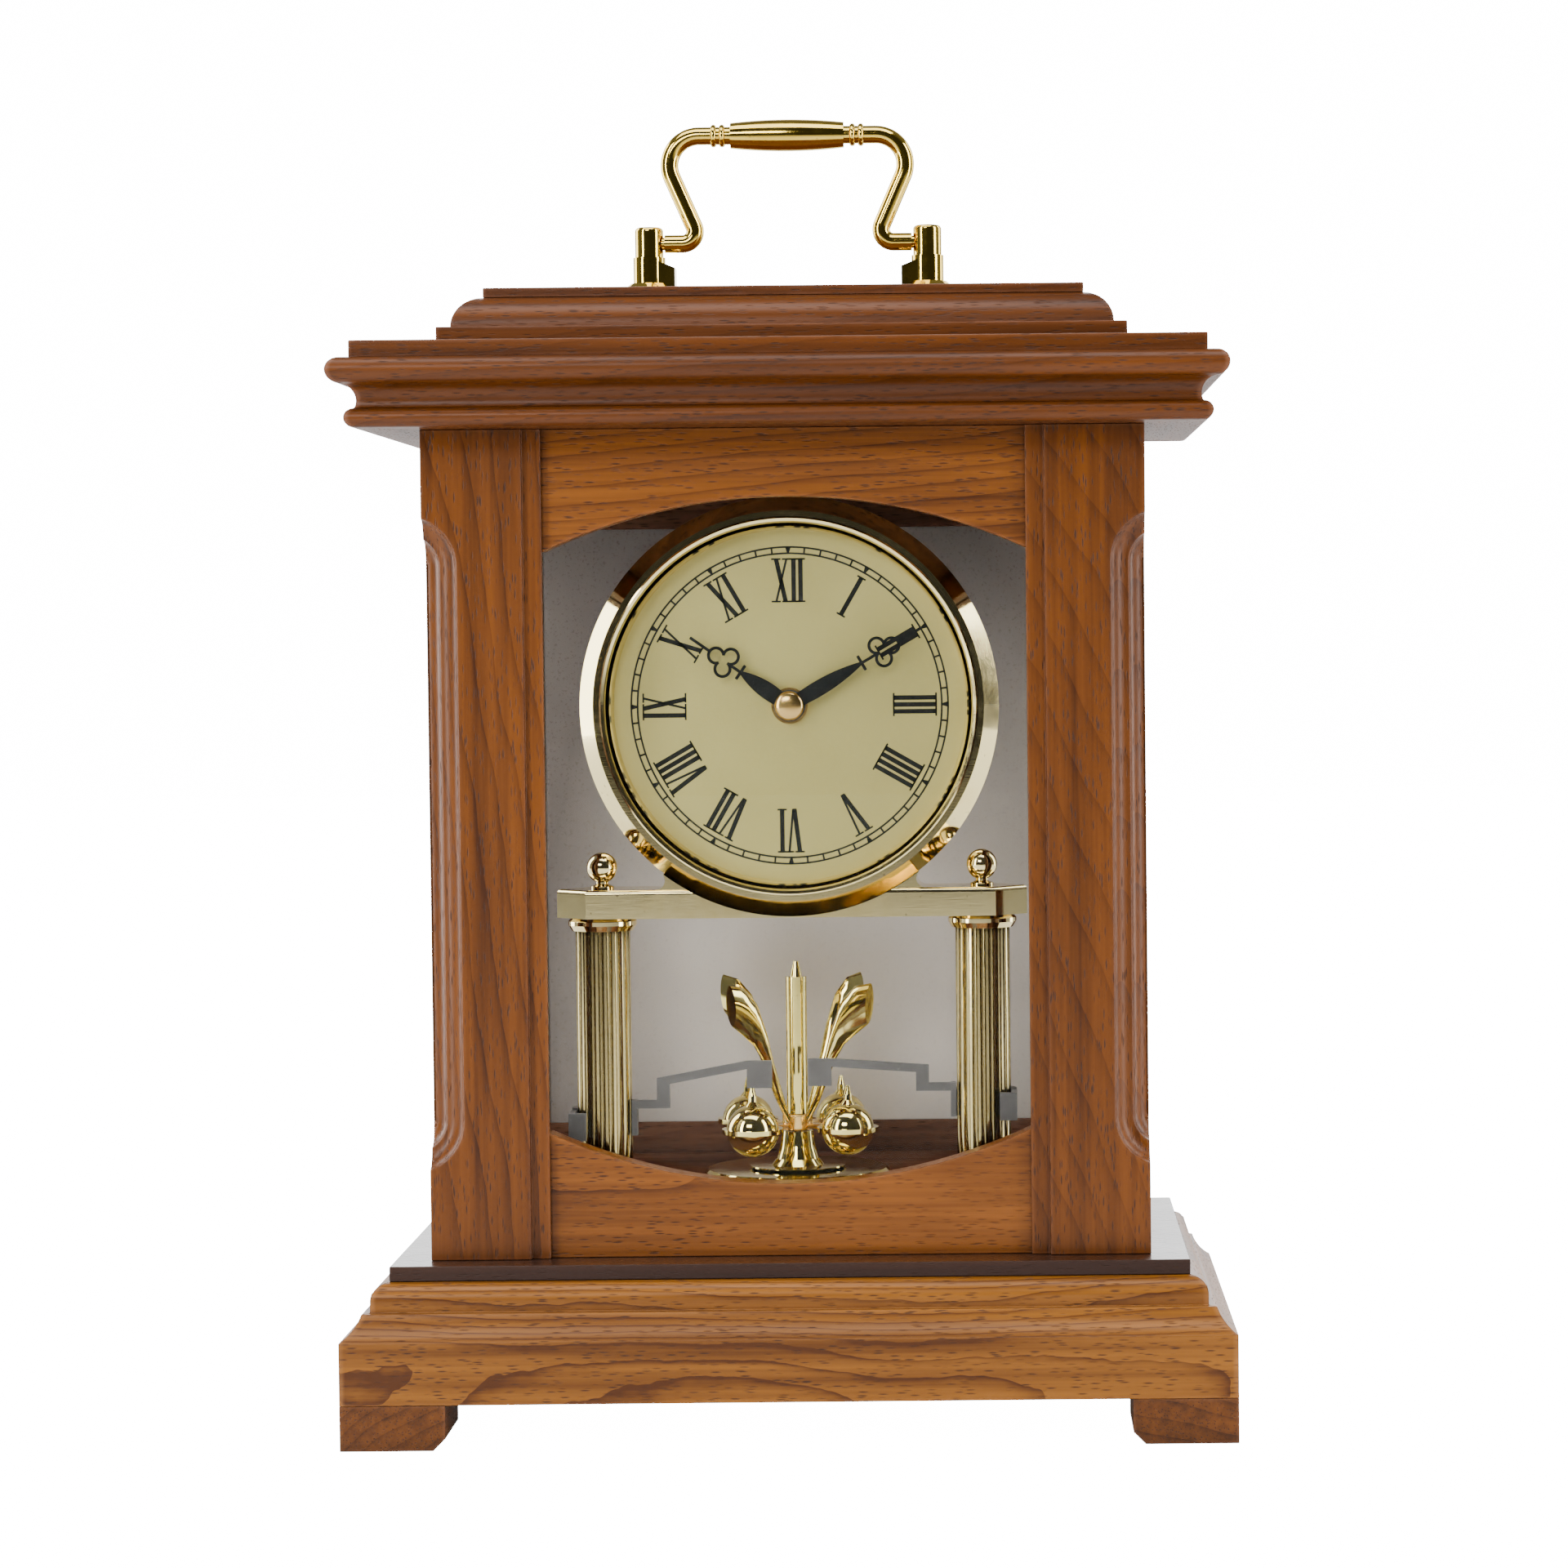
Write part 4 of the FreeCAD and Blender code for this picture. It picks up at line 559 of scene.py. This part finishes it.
# The dial's numerals and minute track, as thin raised printing.
dialLow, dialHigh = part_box("dial_plate")
dialCentre = Vector((0, dialLow.y, (dialLow.z + dialHigh.z) / 2))
dialPrint = {"thick": 0.04 * mm, "numeralIn": 26.3 * mm, "numeralOut": 37.5 * mm, "serif": 0.42 * mm,
             "stem": 1.15 * mm, "thin": 0.56 * mm, "gap": 0.6 * mm, "letter": 3.3 * mm, "flare": 0.62 * mm,
             "trackIn": 38.75 * mm, "trackOut": 40.35 * mm, "line": 0.44 * mm, "tick": 0.46 * mm,
             "bigTick": 1.4 * mm, "steps": 180, "off": 0.002 * mm}
numerals = ["XII", "I", "II", "III", "IIII", "V", "VI", "VII", "VIII", "IX", "X", "XI"]


# A flat outline, turned clockwise round the dial's centre and given its thickness.
def addPrism(mesh, outline, angle, front, back):
    turn = Matrix.Rotation(-angle, 2)
    rings = []
    for depth in (front, back):
        rings.append([mesh.verts.new(dialCentre + Vector((flat.x, depth, flat.y)))
                      for flat in (turn @ Vector(point) for point in outline)])
    mesh.faces.new(rings[0])
    mesh.faces.new(list(reversed(rings[1])))
    count = len(outline)
    for index in range(count):
        other = (index + 1) % count
        mesh.faces.new((rings[0][index], rings[1][index], rings[1][other], rings[0][other]))


# The outlines of one letter that starts at left, and its width.
def strokesOf(letter, left):
    low, high = dialPrint["numeralIn"], dialPrint["numeralOut"]
    stem, thin, wide, serif = (dialPrint[key] for key in ("stem", "thin", "letter", "serif"))
    flare = dialPrint["flare"]

    def slant(bottom, top, width):
        half = width / 2
        return [(bottom - half, low), (bottom + half, low), (top + half, high), (top - half, high)]

    def bar(start, end, level):
        return [(start, level), (end, level), (end, level + serif), (start, level + serif)]

    if letter == "I":
        middle = left + stem / 2
        ends = (middle - stem / 2 - flare, middle + stem / 2 + flare)
        return [slant(middle, middle, stem), bar(*ends, low), bar(*ends, high - serif)], stem
    heavyTop, thinTop = left + stem / 2, left + wide
    if letter == "V":
        foot = (heavyTop + thinTop) / 2
        strokes = [slant(foot, heavyTop, stem), slant(foot + stem / 4, thinTop, thin)]
        feet = []
    else:
        strokes = [slant(thinTop - stem / 4, heavyTop, stem), slant(heavyTop, thinTop, thin)]
        feet = [bar(heavyTop - thin - flare, heavyTop + thin + flare, low),
                bar(thinTop - stem / 2 - flare, thinTop + stem / 2 + flare, low)]
    heads = [bar(heavyTop - stem / 2 - flare, heavyTop + stem / 2 + flare, high - serif),
             bar(thinTop - thin - flare, thinTop + thin + flare, high - serif)]
    return strokes + heads + feet, wide + stem / 2


def buildPiece(name, mesh, material, body):
    bmesh.ops.recalc_face_normals(mesh, faces=mesh.faces)
    data = bpy.data.meshes.new(name)
    mesh.to_mesh(data)
    mesh.free()
    data.materials.append(material)
    piece = bpy.data.objects.new(name, data)
    bpy.context.scene.collection.objects.link(piece)
    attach(piece, body)
    return piece


def buildRing(mesh, innerRadius, outerRadius, front, back):
    steps = dialPrint["steps"]
    half = math.pi / steps
    for index in range(steps):
        spread = [(-math.sin(half), math.cos(half)), (math.sin(half), math.cos(half))]
        outline = [(x * innerRadius, z * innerRadius) for x, z in spread]
        outline += [(x * outerRadius, z * outerRadius) for x, z in reversed(spread)]
        addPrism(mesh, outline, 2 * math.pi * index / steps, front, back)


def buildDialPrint():
    ink = bmesh.new()
    front, back = -dialPrint["thick"], -dialPrint["off"]
    for hour, text in enumerate(numerals):
        widths = [strokesOf(letter, 0)[1] for letter in text]
        total = sum(widths) + dialPrint["gap"] * (len(text) - 1)
        left = -total / 2
        for letter, width in zip(text, widths):
            for stroke in strokesOf(letter, left)[0]:
                addPrism(ink, stroke, math.radians(30 * hour), front, back)
            left += width + dialPrint["gap"]
    for radius in (dialPrint["trackIn"], dialPrint["trackOut"]):
        buildRing(ink, radius - dialPrint["line"] / 2, radius + dialPrint["line"] / 2, front, back)
    low, high = dialPrint["trackIn"], dialPrint["trackOut"]
    for minute in range(60):
        narrow = dialPrint["tick"] / 2
        wide = dialPrint["bigTick"] / 2 if minute % 5 == 0 else narrow
        outline = [(-narrow, low), (narrow, low), (wide, high), (-wide, high)]
        addPrism(ink, outline, math.radians(6 * minute), front, back)
    buildPiece("dial_print", ink, paintMaterial("dialInk", (0.009, 0.008, 0.007), 0.5), "case")


buildDialPrint()
print("dial printed")


# Petals with crowned faces. back and belly are the two edges' points in mm, out from the spindle and up.
petals = {"spindle": (0.0, -4.5 * mm), "floor": 60.0 * mm, "firstAngle": 51.0, "count": 4, "half": 1.66 * mm,
          "thinFoot": 0.5, "crown": 1.3, "sharpFrom": math.radians(50),
          "back": [(4.0, 16.4), (7.0, 23.4), (10.1, 30.9), (12.6, 38.6), (15.7, 45.4), (20.2, 49.2),
                   (25.5, 50.2)],
          "belly": [(4.0, 13.2), (7.4, 18.4), (10.4, 24.4), (13.0, 29.6), (16.3, 33.9), (20.2, 36.8),
                    (24.5, 39.6)],
          "across": 12, "between": 3}


def petalSections():
    sections = []
    pairs = list(zip(petals["back"], petals["belly"]))
    for (backA, bellyA), (backB, bellyB) in zip(pairs, pairs[1:]):
        for step in range(petals["between"]):
            share = step / petals["between"]
            back = Vector(backA).lerp(Vector(backB), share)
            belly = Vector(bellyA).lerp(Vector(bellyB), share)
            sections.append((back, belly))
    sections.append((Vector(pairs[-1][0]), Vector(pairs[-1][1])))
    return sections


def buildPetals(material):
    mesh = bmesh.new()
    across = petals["across"]
    sections = petalSections()
    base = Vector((*petals["spindle"], petals["floor"]))
    for index in range(petals["count"]):
        angle = math.radians(petals["firstAngle"] + 360 * index / petals["count"])
        out = Vector((math.cos(angle), math.sin(angle), 0))
        side = Vector((-math.sin(angle), math.cos(angle), 0))
        loops = []
        for number, (back, belly) in enumerate(sections):
            fullness = petals["half"] * min(1.0, petals["thinFoot"] + number / len(sections))
            loop = []
            for place in range(2 * across):
                turn = math.pi * place / across
                share = (1 - math.cos(turn)) / 2
                flat = back.lerp(belly, share)
                lift = math.copysign(abs(math.sin(turn)) ** petals["crown"], math.sin(turn)) * fullness
                point = base + out * flat.x * mm + Vector((0, 0, flat.y * mm)) + side * lift
                loop.append(mesh.verts.new(point))
            loops.append(loop)
        for first, second in zip(loops, loops[1:]):
            for place in range(2 * across):
                other = (place + 1) % (2 * across)
                face = mesh.faces.new((first[place], first[other], second[other], second[place]))
                face.smooth = True
        mesh.faces.new(loops[0])
        mesh.faces.new(list(reversed(loops[-1])))
    piece = buildPiece("pendulum_petal_blades", mesh, material, "pendulum")
    piece.data.set_sharp_from_angle(angle=petals["sharpFrom"])
    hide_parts("pendulum_petals")


buildPetals(finishes["pendulum"][0])
print("petals built")


# The floor and the background glow for the camera only, so they stay pale and light nothing.
stage = {"floorSize": 8.0, "speck": 6.0, "floorTints": ((0.88, 0.88, 0.88), (0.92, 0.92, 0.92)),
         "floorRoughness": 0.9, "glow": 16.0, "backdrop": 16.0,
         "front": (-0.7, 0.05, 0.04, 0.22), "rear": (0.75, 0.9, 0.0, 2.2)}  # depth from, to, level from, to


def buildStage():
    mesh = bmesh.new()
    bmesh.ops.create_grid(mesh, x_segments=1, y_segments=1, size=stage["floorSize"] / 2)
    data = bpy.data.meshes.new("floor")
    mesh.to_mesh(data)
    mesh.free()
    floor = bpy.data.objects.new("floor", data)
    bpy.context.scene.collection.objects.link(floor)
    material, tree, shader = newMaterial("paleFloor")
    speck = noise(tree, objectVector(tree), stage["speck"])
    feed(tree, shader.inputs["Base Color"], mixColor(tree, speck, *stage["floorTints"]))
    shader.inputs["Roughness"].default_value = stage["floorRoughness"]
    shader.inputs["Emission Color"].default_value = (1, 1, 1, 1)
    rays = addNode(tree, "ShaderNodeLightPath").outputs
    glow = calc(tree, "MULTIPLY", rays["Is Camera Ray"], stage["glow"])
    feed(tree, shader.inputs["Emission Strength"], glow)
    data.materials.append(material)


def buildWorld():
    world = bpy.data.worlds.new("studio")
    bpy.context.scene.world = world
    world.use_nodes = True
    tree = world.node_tree
    shader = next(node for node in tree.nodes if node.type == "BACKGROUND")
    direction = addNode(tree, "ShaderNodeTexCoord").outputs["Generated"]
    depth = split(tree, direction)[1]
    level = calc(tree, "ADD", ramp(tree, depth, *stage["front"]), ramp(tree, depth, *stage["rear"]))
    rays = addNode(tree, "ShaderNodeLightPath").outputs
    shader.inputs["Color"].default_value = (1, 1, 1, 1)
    feed(tree, shader.inputs["Strength"], mixValue(tree, rays["Is Camera Ray"], level, stage["backdrop"]))


# Softboxes, all aimed at the clock's middle. size is in metres, power in watts.
lampTarget = Vector((0, 0, 0.16))
lamps = {
    "leftBox": {"at": (-0.95, -0.8, 0.45), "size": (0.22, 1.3), "power": 19.0},
    "leftRearBox": {"at": (-1.05, 0.5, 0.45), "size": (0.5, 1.3), "power": 16.0},
    "rightRearBox": {"at": (1.05, 0.5, 0.45), "size": (0.35, 1.3), "power": 9.0},
    "rightBox": {"at": (1.05, -0.45, 0.45), "size": (0.3, 1.3), "power": 17.0},
    "topBox": {"at": (-0.1, -0.35, 1.3), "size": (1.2, 0.6), "power": 14.0},
    "backBox": {"at": (0.1, 1.2, 0.8), "size": (1.4, 0.9), "power": 12.0},
    "frontBox": {"at": (-0.45, -1.7, 0.95), "size": (0.7, 0.4), "power": 11.0},
}


def buildLights():
    for name, lamp in lamps.items():
        data = bpy.data.lights.new(name, "AREA")
        data.shape = "RECTANGLE"
        data.size, data.size_y = lamp["size"]
        data.energy = lamp["power"]
        light = bpy.data.objects.new(name, data)
        light.location = lamp["at"]
        light.rotation_euler = (lampTarget - light.location).to_track_quat("-Z", "Y").to_euler()
        bpy.context.scene.collection.objects.link(light)


shot = {"lens": 96.03, "sensor": 36.0, "at": (0.0496, -1.0875, 0.2013), "pitch": 2.17, "roll": -0.0098,
        "shift": -0.1283}  # pitch is in degrees down, roll in radians


def buildCamera():
    data = bpy.data.cameras.new("camera")
    data.lens = shot["lens"]
    data.sensor_width = shot["sensor"]
    data.shift_x = shot["shift"]
    camera = bpy.data.objects.new("camera", data)
    aim = Matrix.Rotation(math.radians(90 - shot["pitch"]), 4, "X") @ Matrix.Rotation(shot["roll"], 4, "Z")
    camera.matrix_world = Matrix.Translation(shot["at"]) @ aim
    bpy.context.scene.collection.objects.link(camera)
    bpy.context.scene.camera = camera


buildStage()
buildWorld()
buildLights()
buildCamera()
print("stage ready")
